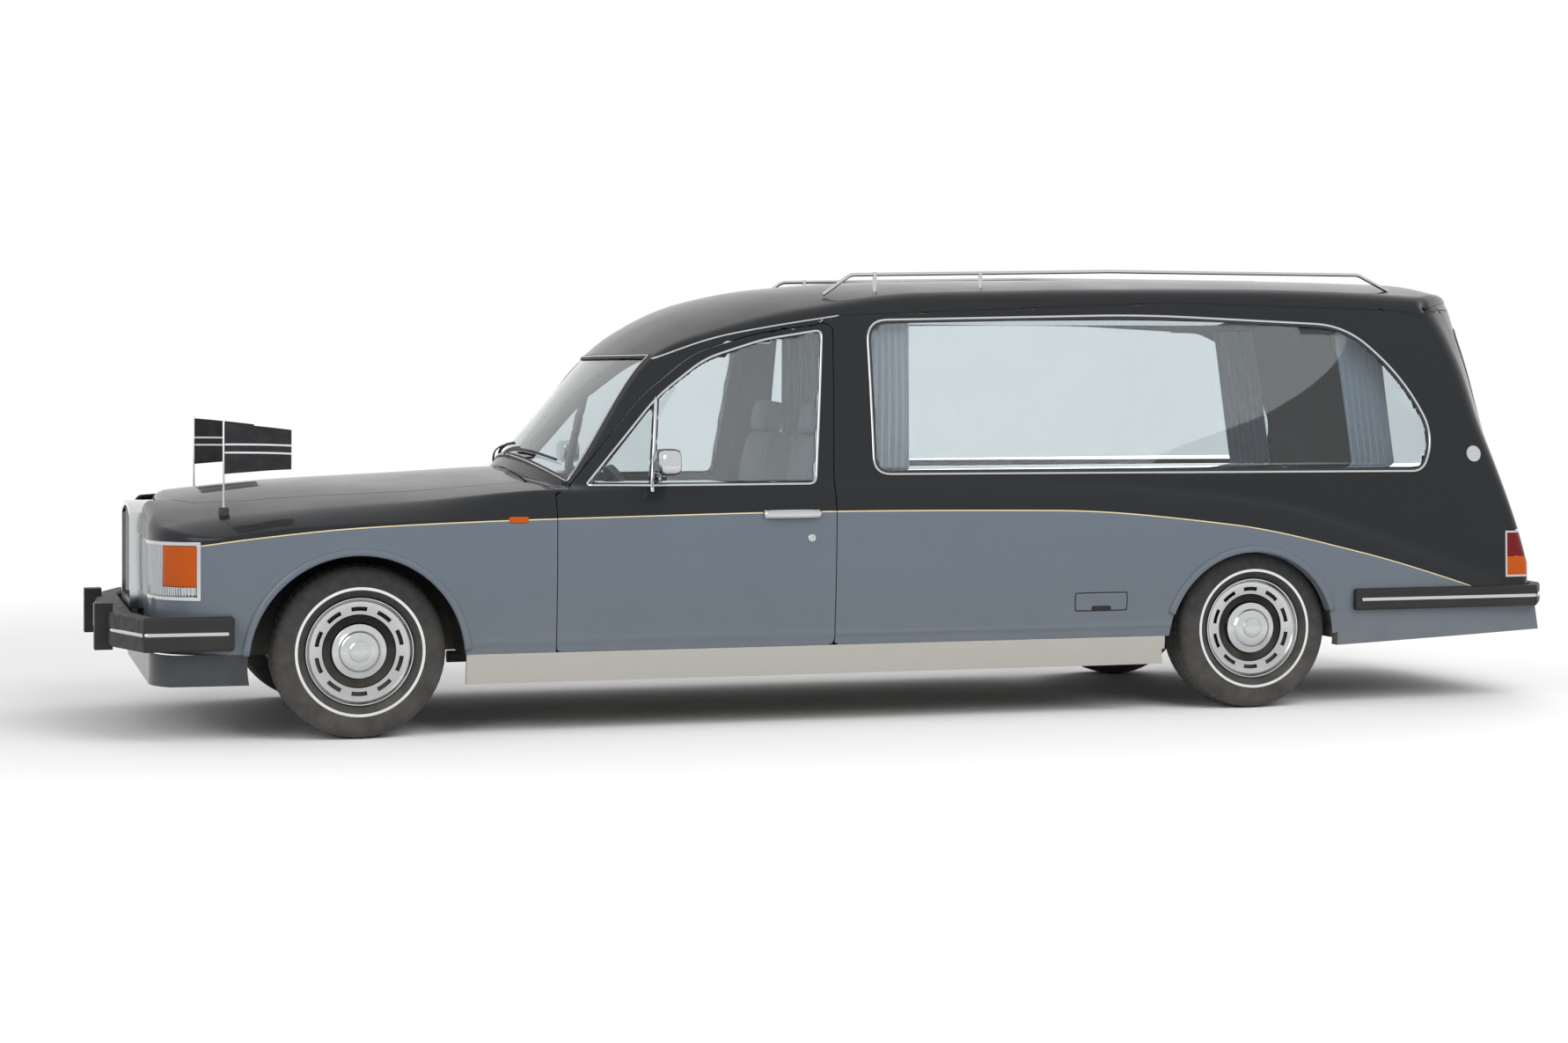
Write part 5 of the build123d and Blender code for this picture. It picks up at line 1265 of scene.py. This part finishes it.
handle = {"front": 0.5425, "rear": 0.2955, "z": 0.868}
handlePath = curvePath([(handle["front"] - 0.004, 0.0), (handle["front"] - 0.020, 0.018),
                        ((handle["front"] + handle["rear"]) / 2, 0.026),
                        (handle["rear"] + 0.020, 0.018), (handle["rear"] + 0.004, 0.0)], 10)
handleZ = np.full(len(handlePath), handle["z"])
handleLine = np.column_stack([handlePath[:, 0], sideY(handlePath[:, 0], handleZ) + handlePath[:, 1], handleZ])
handleBar = sweep(handleLine, oval(0.024, 0.013, 12, 3.0), (0, 1, 0))
handlePlate = sidePad(handle["front"] + 0.004, handle["rear"] - 0.004, 0.850, 0.886, 0.25, 0.005)
lockProfile = [(0.0170, -0.002), (0.0170, 0.003), (0.0150, 0.005), (0.0110, 0.006), (0.0100, 0.0035), (0.0003, 0.0035)]
bothSides("door_handle", joinSheets(handleBar, handlePlate, roundOnSide(0.3355, 0.769, lockProfile)), "door_{}",
          chrome, [], sharp=50)
bothSides("side_repeater", sidePad(1.590, 1.507, 0.846, 0.872, 0.15, 0.008), "root", lensAmber, [],
          sharp=50)
discProfile = [(0.035, -0.002), (0.035, 0.004), (0.032, 0.0065), (0.024, 0.0072), (0.0003, 0.0078)]
ringProfile = [(0.0400, -0.002), (0.0400, 0.0022), (0.0380, 0.0034), (0.0345, 0.0034), (0.0340, -0.002)]
bothSides("side_disc", roundOnSide(-2.7405, 1.089, discProfile), "root", chrome, [], sharp=50)
bothSides("side_disc_ring", roundOnSide(-2.7405, 1.089, ringProfile), "root", trimBlack, [])
# the black sheet round the flap and the black strip on its foot are painted shade for the recess round and under the
# flap
flapEdge = sidePad(-0.8165, -1.0645, 0.436, 0.522, 0.10, 0.0022, (40, 20), 0.0)
bothSides("flap_surround", flapEdge, "root", recessShadeBlack, [])
flap = sidePad(-0.8205, -1.0605, 0.440, 0.518, 0.10, 0.004, (40, 20), 0.1)
bothSides("flap_handle", flap, "root", greyPaint, [], sharp=50)
flapFinger = sidePad(-0.875, -1.005, 0.440, 0.466, 0.20, 0.0048, (30, 12), 0.9)
bothSides("flap_finger", flapFinger, "root", recessShadeBlack, [], sharp=50)

# rolled lips round the wheel arches
lipSizes = {"low": {"front": 0.345, "rear": 0.420}, "width": 0.030, "proud": 0.009}
for end in ("front", "rear"):
    cx, cz, radius = arches[end]
    start = np.arcsin((lipSizes["low"][end] - cz) / (radius + 0.010))
    turn = np.linspace(start, np.pi - start, 90)
    lipLine = np.column_stack([cx + (radius + 0.010) * np.cos(turn), cz + (radius + 0.010) * np.sin(turn)])
    lip = sideBead(lipLine, halfRound(lipSizes["width"], lipSizes["proud"], 11))
    bothSides(f"arch_lip_{end}", lip, "root", greyPaint, [])
print("side fittings ready")

# head lamps: a clear lens across the front, an amber one round the corner, chrome round both
lampSizes = {"gap": 0.0015, "amberFront": 2.918, "amberInner": 0.64, "amberLow": 0.612}


def headLampEdge(p):
    return lampSizes["gap"] - headLampDepth(p)


def amberDepth(p):
    return boxInside(lampSizes["amberFront"] - p[..., 0], p[..., 2] - lampSizes["amberLow"],
                     wingSizes["lampTop"] - 0.012 - p[..., 2], p[..., 0] - wingSizes["lampX"] - 0.008,
                     p[..., 1] - lampSizes["amberInner"])


lampCells = (420, 150)
clearLens = trimmedSheet(wingPlace, lambda p: np.maximum(headLampEdge(p), amberDepth(p)), lampCells)
amberLens = trimmedSheet(wingPlace, lambda p: np.maximum(headLampEdge(p), -amberDepth(p)), lampCells)
backLens = trimmedSheet(insetOf(wingPlace, 0.030), lambda p: headLampEdge(p) + 0.004, (190, 74))
lampFrame = trimmedSheet(insetOf(wingPlace, -0.0025), lambda p: np.maximum(
    -headLampDepth(p) - 0.004, headLampDepth(p) - 0.010), lampCells)
bothSides("head_lens", clearLens, "root", lensClear, ["headlamps"], thickness=0.004, bevel=0)
bothSides("turn_lens", amberLens, "root", lensAmber, [], thickness=0.004, bevel=0)
bothSides("lamp_bowl", backLens, "root", chrome, [], thickness=0.002, bevel=0)
bothSides("lamp_frame", lampFrame, "root", chrome, [], thickness=0.010, bevel=0.001)

# tail lamps: red over amber in the tail's corner
tailBreak = 0.634


def tailLensEdge(low, high):
    return lambda p: np.maximum.reduce([lampSizes["gap"] - tailLampDepth(p), low - p[..., 2], p[..., 2] - high])


tailSurface = sideAndTail(-2.80, ((0, 1), (0.52, 0.77)))
redLens = trimmedSheet(tailSurface, tailLensEdge(tailBreak, 1), (190, 60))
amberTail = trimmedSheet(tailSurface, tailLensEdge(0, tailBreak - 0.002), (190, 60))
tailBowl = trimmedSheet(insetOf(tailSurface, 0.025), lambda p: -0.004 - tailLampDepth(p), (90, 30))
tailFrame = trimmedSheet(insetOf(tailSurface, -0.002), lambda p: np.maximum(
    -tailLampDepth(p) - 0.004, tailLampDepth(p) - 0.005), (190, 60))
bothSides("tail_lens_red", redLens, "root", lensRed, ["tail_lamps"], thickness=0.004, bevel=0)
bothSides("tail_lens_amber", amberTail, "root", lensAmber, [], thickness=0.004, bevel=0)
bothSides("tail_lamp_bowl", tailBowl, "root", chrome, [], thickness=0.002, bevel=0)
bothSides("tail_lamp_frame", tailFrame, "root", chrome, [], thickness=0.008, bevel=0.001)
print("lamps ready")

# bumpers' bright strips, laid round the fronts of the rubber bars
bumperSizes = {
    "front": ((2.680, 0.9415), (3.0025, 0.9220), (3.1070, 0.5995), (3.1270, 0.0)),
    "rear": ((-2.150, -0.9420), (-3.0125, -0.9250), (-3.1180, -0.7595), (-3.1400, -0.537), (-3.1565, -0.269),
             (-3.1620, 0.0)),
    "frontZ": 0.4335, "rearZ": 0.4620, "height": 0.016, "proud": 0.005, "turn": 0.022,
}


def barStrip(half, z):
    # a strip along a bumper's plan line and its mirror image, facing outwards, the corners parabolas
    half = np.array(half)
    whole = np.vstack([half, half[-2::-1] * (1, -1)])
    line = np.vstack([whole[:1], roundedLine(whole, bumperSizes["turn"])[9:-9], whole[-1:]])
    line = evenLine(line, 0.008)
    along = np.gradient(line, axis=0)
    out = np.column_stack([-along[:, 1], along[:, 0], 0 * along[:, 0]])
    path = np.column_stack([line, np.full(len(line), z)])
    return sweep(path, halfRound(bumperSizes["height"], bumperSizes["proud"]),
                 out / np.linalg.norm(out, axis=1)[:, None])


for end in ("front", "rear"):
    strip = barStrip(bumperSizes[end], bumperSizes[f"{end}Z"])
    addPiece(f"bumper_strip_{end}", meshOf(f"bumper_strip_{end}", *strip), "root", chrome)

# rubber and bright beads round the windscreen and the tailgate's window
screenRing = evenLine(roundedLine(screenLine, 0.004), 0.016, True)
screenRingX = screenX(screenRing[:, 0], screenRing[:, 1])
screenPath = np.column_stack([screenRingX, screenRing])
screenOut = screenNormal(screenRingX, screenRing[:, 0])
tailRing = evenLine(tailWindowLine, 0.016, True)
tailPath = np.column_stack([tailFace(tailRing[:, 0], tailRing[:, 1]), tailRing])
step, (ringY, ringZ) = 0.003, tailRing.T
tailOut = np.column_stack([
    -np.ones(len(tailRing)),
    (tailFace(ringY + step, ringZ) - tailFace(ringY - step, ringZ)) / (2 * step),
    (tailFace(ringY, ringZ + step) - tailFace(ringY, ringZ - step)) / (2 * step),
])
tailOut /= np.linalg.norm(tailOut, axis=1)[:, None]
for name, path, out, body in (("screen", screenPath, screenOut, "root"),
                              ("tail_window", tailPath, tailOut, "tailgate_lid")):
    addPiece(f"{name}_rubber", meshOf(f"{name}_rubber", *sweep(path, halfRound(0.026, 0.0045), out, True)), body,
             trimBlack)
    addPiece(f"{name}_bead", meshOf(f"{name}_bead", *sweep(path + out * 0.0035, halfRound(0.006, 0.003), out, True)),
             body, chrome)

# blank number plates and the tailgate's handle: crowned pads on the front bumper and on the tail
plateSizes = {"width": 0.520, "height": 0.111, "frontX": 3.1275, "frontZ": 0.433, "rearZ": 0.735, "proud": 0.007}


def facePad(surfaceX, side, z, width, height, proud, rounding=0.06):
    # a pad facing forwards (side 1) or rearwards (side -1): the rise falls off towards the rim as the
    # fourth power of the distance from the middle
    u, v = np.meshgrid(np.linspace(-1, 1, 31), np.linspace(-1, 1, 15), indexing="ij")
    y = side * width / 2 * ((1 - rounding) * u + rounding * u * np.sqrt(1 - v * v / 2))
    high = z + height / 2 * ((1 - rounding) * v + rounding * v * np.sqrt(1 - u * u / 2))
    rim = np.maximum(np.abs(u), np.abs(v))
    rise = np.where(rim > 0.999, -0.003, proud * (1 - 0.12 * rim ** 4))
    return stack(surfaceX(y, high) + side * rise, y, high).reshape(-1, 3), [gridFaces(31, 15)]


frontPlate = facePad(lambda y, z: plateSizes["frontX"] + 0 * y, 1, plateSizes["frontZ"], plateSizes["width"],
                     plateSizes["height"], plateSizes["proud"])
rearPlate = facePad(tailFace, -1, plateSizes["rearZ"], plateSizes["width"], plateSizes["height"],
                    plateSizes["proud"])
for end, plate, body in (("front", frontPlate, "root"), ("rear", rearPlate, "tailgate_lid")):
    addPiece(f"number_plate_{end}", meshOf(f"number_plate_{end}", *plate), body, plateWhite,
             sharp=40)
tailHandle = facePad(tailFace, -1, 0.862, 0.300, 0.038, 0.020, 0.5)
addPiece("tailgate_handle", meshOf("tailgate_handle", *tailHandle), "tailgate_lid", chrome, sharp=50)
print("strips and plates ready")

# flags: a thin pole on a black foot, with a pennant of cloth held out rearwards
flagSizes = {"x": 2.6825, "y": 0.735, "footTop": 0.915, "top": 1.257, "pole": 0.004,
             "clothLow": 1.046, "clothTop": 1.247, "length": 0.262, "fly": 0.78}


def flagSheet():
    # rows along the length and columns up the hoist; the height narrows to the fly, and the cloth
    # waves sideways by a sine whose size grows with the distance from the pole
    u, v = np.meshgrid(np.linspace(0, 1, 53), np.linspace(-0.5, 0.5, 41), indexing="ij")
    middle = (flagSizes["clothLow"] + flagSizes["clothTop"]) / 2
    tall = (flagSizes["clothTop"] - flagSizes["clothLow"]) * (1 + (flagSizes["fly"] - 1) * u)
    x = flagSizes["x"] - 0.004 - flagSizes["length"] * u * 0.985
    y = flagSizes["y"] + 0.013 * u * np.sin(7.5 * u + 1.2 * v)
    z = middle + tall * v - 0.006 * u * u
    flat = np.column_stack([(u * flagSizes["length"]).ravel(), (v * tall).ravel()])
    return stack(x, y, z).reshape(-1, 3), [gridFaces(53, 41)], flat


def clothMap(mesh, uv):  # the cloth's own map, in metres along and across it
    layer = mesh.uv_layers.new(name="cloth")
    corners = np.empty(len(mesh.loops), np.int32)
    mesh.loops.foreach_get("vertex_index", corners)
    layer.data.foreach_set("uv", np.asarray(uv, np.float32)[corners].ravel())


def upright(sign, profile, heights, widths, tip):
    # a closed profile at each height, scaled by its width, and a fan up to the tip
    widths, heights = np.array(widths)[:, None], np.array(heights)[:, None]
    x, y = flagSizes["x"] + profile[:, 0] * widths, sign * flagSizes["y"] + profile[:, 1] * widths
    points = np.vstack([stack(x, y, heights).reshape(-1, 3), [(flagSizes["x"], sign * flagSizes["y"], tip)]])
    count = len(profile)
    loop = np.arange(count) + count * (len(widths) - 1)
    lid = np.column_stack([loop, np.roll(loop, -1), np.full(count, len(points) - 1)])
    return points, [gridFaces(len(widths), count, closedColumns=True)[:, ::-1], lid]


flagPoints, flagFaces, flagMap = flagSheet()
poleProfile = oval(2 * flagSizes["pole"], 2 * flagSizes["pole"], 16)
poleHeights = (flagSizes["footTop"] - 0.004, 1.0, flagSizes["top"] - 0.004, flagSizes["top"])
footProfile = oval(0.040, 0.030, 24, 6.0)
footLow = float(lowerTop(np.array([flagSizes["x"]]), np.array([flagSizes["y"]]))[0]) - 0.010
footHeights = (footLow, flagSizes["footTop"] - 0.006, flagSizes["footTop"])
for side, points, faces in (("left", flagPoints, flagFaces), ("right", *mirrorPoints(flagPoints, flagFaces))):
    sign = 1 if side == "left" else -1
    cloth = addPiece(f"pennant_{side}", meshOf(f"pennant_{side}", points, faces), "root", flagCloth,
                     ["flags"] if side == "left" else [])
    clothMap(cloth.data, flagMap)
    poleMesh = upright(sign, poleProfile, poleHeights, (1.25, 1.0, 1.0, 0.4), flagSizes["top"] + 0.001)
    addPiece(f"flag_pole_{side}", meshOf(f"flag_pole_{side}", *poleMesh), "root", chrome)
    footMesh = upright(sign, footProfile, footHeights, (1.0, 1.0, 0.86), flagSizes["footTop"])
    addPiece(f"flag_foot_{side}", meshOf(f"flag_foot_{side}", *footMesh), "root", trimBlack, sharp=40)
print("flags ready")

# curtains: pleated sheets at both ends of the side windows
curtainSizes = {"spans": ((0.0227, -0.1688), (-2.1987, -2.4094)), "y": 0.663, "low": 0.9353, "top": 1.650,
                "pleat": 0.030, "depth": 0.007, "slant": 0.10}


def curtainSheet(x0, x1, side):
    # the width runs along the car; the cloth stands in and out by a sine of the width, deeper and
    # a little wavier towards the hem
    columns = 120
    u, v = np.meshgrid(np.linspace(0, 1, columns), np.linspace(0, 1, 37), indexing="ij")
    turns = abs(x1 - x0) / curtainSizes["pleat"]
    depth = curtainSizes["depth"] * (0.75 + 0.25 * (1 - v))
    phase = 2 * np.pi * turns * u + 0.5 * np.sin(5 * v + 3 * u)
    y = side * (curtainSizes["y"] + depth * np.sin(phase))
    z = curtainSizes["low"] + (curtainSizes["top"] - curtainSizes["low"]) * v
    slant = curtainSizes["slant"] * (x0 < -1)
    points = stack(x0 + (x1 - x0) * u + slant * (v - 0.5), y, z)
    along = np.concatenate([[0], np.cumsum(np.linalg.norm(np.diff(points[:, 0], axis=0), axis=1))])
    uv = np.column_stack([np.repeat(along, 37), (z - curtainSizes["low"]).ravel()])
    faces = gridFaces(columns, 37)
    return points.reshape(-1, 3), [faces if side > 0 else faces[:, ::-1]], uv, along[-1]


for number, (x0, x1) in enumerate(curtainSizes["spans"]):
    for side, sign in (("left", 1), ("right", -1)):
        points, faces, uv, width = curtainSheet(x0, x1, sign)
        name = f"curtain_{'front' if number == 0 else 'rear'}_{side}"
        cloth = addPiece(name, meshOf(name, points, faces), "root", curtainCloth,
                         ["curtains"] if name == "curtain_front_left" else [])
        clothMap(cloth.data, uv)
print("curtains ready")


# seats: padded cushions and backs with sewn channels, over a plastic base
seatSizes = {"y": 0.400, "cushionTop": 0.560, "lean": 0.110, "backTop": 1.200, "channel": 0.007}


def padSurface(centre, axes, half, crown, channels, count=32):
    # a crowned closed pad: a cube's six sides pulled towards a rounded box, each point pushed out by
    # the crown where it is far from the seams, and in along the sewn channels
    points, faces, at = [], [], 0
    u, v = np.meshgrid(np.linspace(-1, 1, count), np.linspace(-1, 1, count), indexing="ij")
    for axis in range(3):
        for sign in (-1, 1):
            cube = np.zeros(u.shape + (3,))
            cube[..., axis] = sign
            cube[..., (axis + 1) % 3], cube[..., (axis + 2) % 3] = u, v
            faces.append((gridFaces(count, count) if sign > 0 else gridFaces(count, count)[:, ::-1]) + at)
            points.append(cube.reshape(-1, 3))
            at += count * count
    cube = np.vstack(points)
    power = 7.0
    size = (np.abs(cube) ** power).sum(1) ** (1 / power)
    shape = cube / size[:, None]
    bulge = (1 - shape[:, 0] ** 4) * (1 - shape[:, 1] ** 4)
    lane = np.abs((shape[:, 1] * channels / 2) % 1 - 0.5) if channels else np.zeros(len(shape))
    inLane = np.exp(-((0.5 - lane) / 0.09) ** 2) * (np.abs(shape[:, 1]) < 0.82) * (shape[:, 2] > 0.2)
    local = shape * np.asarray(half)
    local[:, 2] += np.sign(shape[:, 2]) * np.abs(shape[:, 2]) * crown * bulge - inLane * seatSizes["channel"]
    placed = np.asarray(centre) + local @ np.asarray(axes)
    return placed, faces


def mergedMesh(name, points, faces):  # coincident points of neighbouring grids become one
    keys = np.round(np.asarray(points) / 1e-5).astype(np.int64)
    unique, first, back = np.unique(keys, axis=0, return_index=True, return_inverse=True)
    back = back.ravel()
    return meshOf(name, np.asarray(points)[first], [back[f] for f in faces])


backLean = np.array([-seatSizes["lean"], 0, seatSizes["backTop"] - seatSizes["cushionTop"]])
backLength = np.linalg.norm(backLean)
backUp = backLean / backLength
backOut = np.array([backUp[2], 0, -backUp[0]])
across = np.array([0, 1.0, 0])
for side, sign in (("left", 1), ("right", -1)):
    y = sign * seatSizes["y"]
    pads = {
        "cushion": padSurface((0.575, y, 0.475), ((1, 0, 0), (0, 1, 0), (0, 0, 1)), (0.258, 0.257, 0.072), 0.018, 6),
        "back": padSurface((0.200, y, 0.862), (backUp, across, backOut),
                           (0.325, 0.250, 0.056), 0.018, 6),
        "headrest": padSurface((0.162, y, 1.248), (backUp, across, backOut), (0.072, 0.128, 0.042), 0.010, 0),
    }
    for part, (points, faces) in pads.items():
        name = f"seat_{part}_{side}"
        mesh = mergedMesh(name, points, faces)
        pad = addPiece(name, mesh, "root", leather, ["seats"] if name == "seat_cushion_left" else [])
    base = padSurface((0.570, y, 0.335), ((1, 0, 0), (0, 1, 0), (0, 0, 1)), (0.235, 0.235, 0.064), 0.0, 0, 16)
    addPiece(f"seat_base_{side}", mergedMesh(f"seat_base_{side}", *base), "root", plastic)
print("seats ready")

# wipers, parked along the foot of the windscreen: pivot's and tip's widths, and the lift above the foot
wiperSizes = {"left": (0.02, 0.60), "right": (-0.56, 0.02), "lift": 0.024, "rise": 0.020}


def screenPoint(y, lift, out):  # a point on the windscreen, lifted above its foot and moved outwards
    z = 1.0958 - 0.0935 * (y / 0.7752) ** 2 + lift
    x = screenX(y, z)
    return stack(x, y, z) + screenNormal(x, y) * np.reshape(out, (-1, 1))


for side in ("left", "right"):
    pivot, tip = wiperSizes[side]
    t = np.linspace(0, 1, 30)
    bladeY = pivot + (tip - pivot) * (0.12 + 0.88 * t)
    bladeLine = screenPoint(bladeY, wiperSizes["lift"] + wiperSizes["rise"] * t, 0.009 + 0 * t)
    blade = sweep(bladeLine, oval(0.010, 0.014, 8), screenNormal(screenX(bladeY, np.full(30, 1.09)), bladeY))
    armY = pivot + (tip - pivot) * 0.58 * t
    lift = -0.004 + (wiperSizes["lift"] + 0.5 * wiperSizes["rise"] + 0.004) * t
    arm = sweep(screenPoint(armY, lift, 0.012 + 0.012 * np.sin(np.pi * t)), oval(0.013, 0.007, 8),
                screenNormal(screenX(armY, np.full(30, 1.09)), armY))
    addPiece(f"wiper_{side}", meshOf(f"wiper_{side}", *joinSheets(arm, blade)), "root", trimBlack)
print("wipers ready")

# door mirrors: a rounded shell on a short arm, with the glass in its rear face
mirrorSizes = {"centre": (0.9575, 1.008, 1.086), "half": (0.053, 0.091, 0.055), "power": 3.4}
shellPoints, shellFaces = padSurface((0, 0, 0), np.eye(3), (1, 1, 1), 0.0, 0, 26)
reach = (np.abs(shellPoints) ** mirrorSizes["power"]).sum(1) ** (1 / mirrorSizes["power"])
shell = shellPoints / reach[:, None]
shell[:, 0] = np.maximum(shell[:, 0], -0.72)
shell = np.asarray(mirrorSizes["centre"]) + shell * mirrorSizes["half"]
armLine = curvePath([(0.965, 0.865, 1.012), (0.965, 0.905, 1.016), (0.962, 0.945, 1.030), (0.960, 0.968, 1.052)], 8)
mirrorArm = sweep(armLine, oval(0.030, 0.020, 14), (1, 0, 0))
u, v = np.meshgrid(np.linspace(-1, 1, 25), np.linspace(-1, 1, 15), indexing="ij")
glassY = 1.008 - 0.078 * u * np.sqrt(1 - 0.35 * v * v)
glassZ = 1.086 + 0.045 * v * np.sqrt(1 - 0.35 * u * u)
glassX = 0.9575 - 0.053 * 0.72 - np.where(np.maximum(np.abs(u), np.abs(v)) > 0.999, -0.002, 0.0012)
mirrorGlass = (stack(glassX, glassY, glassZ).reshape(-1, 3), [gridFaces(25, 15)])
for side, short, flip in (("left", "l", False), ("right", "r", True)):
    parts = [joinSheets((shell, shellFaces), mirrorArm), mirrorGlass]
    if flip:
        parts = [mirrorPoints(*part) for part in parts]
    addPiece(f"mirror_shell_{side}", mergedMesh(f"mirror_shell_{side}", *parts[0]), f"door_{short}", chrome,
             [f"mirror_{side}"])
    addPiece(f"mirror_glass_{side}", meshOf(f"mirror_glass_{side}", *parts[1]), f"door_{short}", mirrorFinish)
print("mirrors ready")

# finishes of the CAD parts that stay
kept = {
    "cowl": darkPaint, "front_apron": apronShadePaint, "rear_valance": greyPaint, "sill_trims": sillMetal, "grille": chrome,
    "front_bumper": bumperRubber, "rear_bumper": bumperRubber, "roof_rails": chrome, "floor_pan": underbody,
    "coffin_deck": deckFinish, "dashboard": plastic,
    "engine_block": castMetal, "front_subframe": underbody, "rear_axle": castMetal, "exhaust": castMetal,
    "knuckle_left": castMetal, "knuckle_right": castMetal,
}
for name, material in kept.items():
    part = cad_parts[name]
    part.data.materials.clear()
    part.data.materials.append(material)
for name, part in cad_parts.items():  # the hidden ones have a finish too
    if name not in kept:
        part.data.materials.clear()
        part.data.materials.append(plastic)
print("kept parts finished")

# floor, backdrop, lamps and world
studio = {
    "floor": (0.86, 0.86, 0.86),
    "floorSize": 60.0,
    "key": ((-3.0, 9.0, 7.5), 9.0, 900.0),
    "fill": ((7.5, 6.0, 5.0), 6.0, 260.0),
    "back": ((-6.0, -7.0, 6.0), 8.0, 420.0),
    "sky": 0.62,
    "fade": (4.2, 8.5),
}
half = studio["floorSize"] / 2
floorCorners = [(-half, -half, 0), (half, -half, 0), (half, half, 0), (-half, half, 0)]
floorMesh = meshOf("floor", floorCorners, [[[0, 1, 2, 3]]])
floor = bpy.data.objects.new("floor", floorMesh)
scene.collection.objects.link(floor)
floorFinish = bpy.data.materials.new("floorFinish")
floorFinish.use_nodes = True
tree = floorFinish.node_tree
tree.nodes["Principled BSDF"].inputs["Base Color"].default_value = (*studio["floor"], 1)
tree.nodes["Principled BSDF"].inputs["Roughness"].default_value = 0.9
where = node(tree, "ShaderNodeTexCoord")
reach = node(tree, "ShaderNodeVectorMath", operation="LENGTH")
tree.links.new(where.outputs["Object"], reach.inputs[0])
path = tree.nodes.new("ShaderNodeLightPath")
looked = mathNode(tree, "ADD", mathNode(tree, "ADD", path.outputs["Is Camera Ray"], path.outputs["Is Glossy Ray"]),
                  path.outputs["Is Transmission Ray"], clamp=True)
far = mathNode(tree, "MULTIPLY", rangeNode(tree, reach.outputs["Value"], *studio["fade"], 0.0, 1.0), looked)
white = node(tree, "ShaderNodeEmission", Strength=1.0)
white.inputs["Color"].default_value = (1, 1, 1, 1)
blend = tree.nodes.new("ShaderNodeMixShader")
tree.links.new(far, blend.inputs[0])
tree.links.new(tree.nodes["Principled BSDF"].outputs[0], blend.inputs[1])
tree.links.new(white.outputs[0], blend.inputs[2])
tree.links.new(blend.outputs[0], tree.nodes["Material Output"].inputs["Surface"])
floorMesh.materials.append(floorFinish)
world = bpy.data.worlds.new("studio")
world.use_nodes = True
scene.world = world
tree = world.node_tree
sky, path = tree.nodes["Background"], tree.nodes.new("ShaderNodeLightPath")
sky.inputs["Color"].default_value = (1, 1, 1, 1)
seen = mathNode(tree, "ADD", path.outputs["Is Camera Ray"],
                mathNode(tree, "ADD", path.outputs["Is Transmission Ray"], path.outputs["Is Glossy Ray"]), clamp=True)
tree.links.new(mathNode(tree, "ADD", mathNode(tree, "MULTIPLY", seen, 1 - studio["sky"]), studio["sky"]),
               sky.inputs["Strength"])
for name in ("key", "fill", "back"):
    place, size, power = studio[name]
    lampData = bpy.data.lights.new(name, "AREA")
    lampData.shape = "DISK"
    lampData.size, lampData.energy = size, power
    lamp = bpy.data.objects.new(name, lampData)
    lamp.location = place
    lamp.rotation_euler = (-Vector(place) + Vector((0, 0, 0.6))).to_track_quat("-Z", "Y").to_euler()
    scene.collection.objects.link(lamp)
    lamp.visible_glossy = name == "fill"
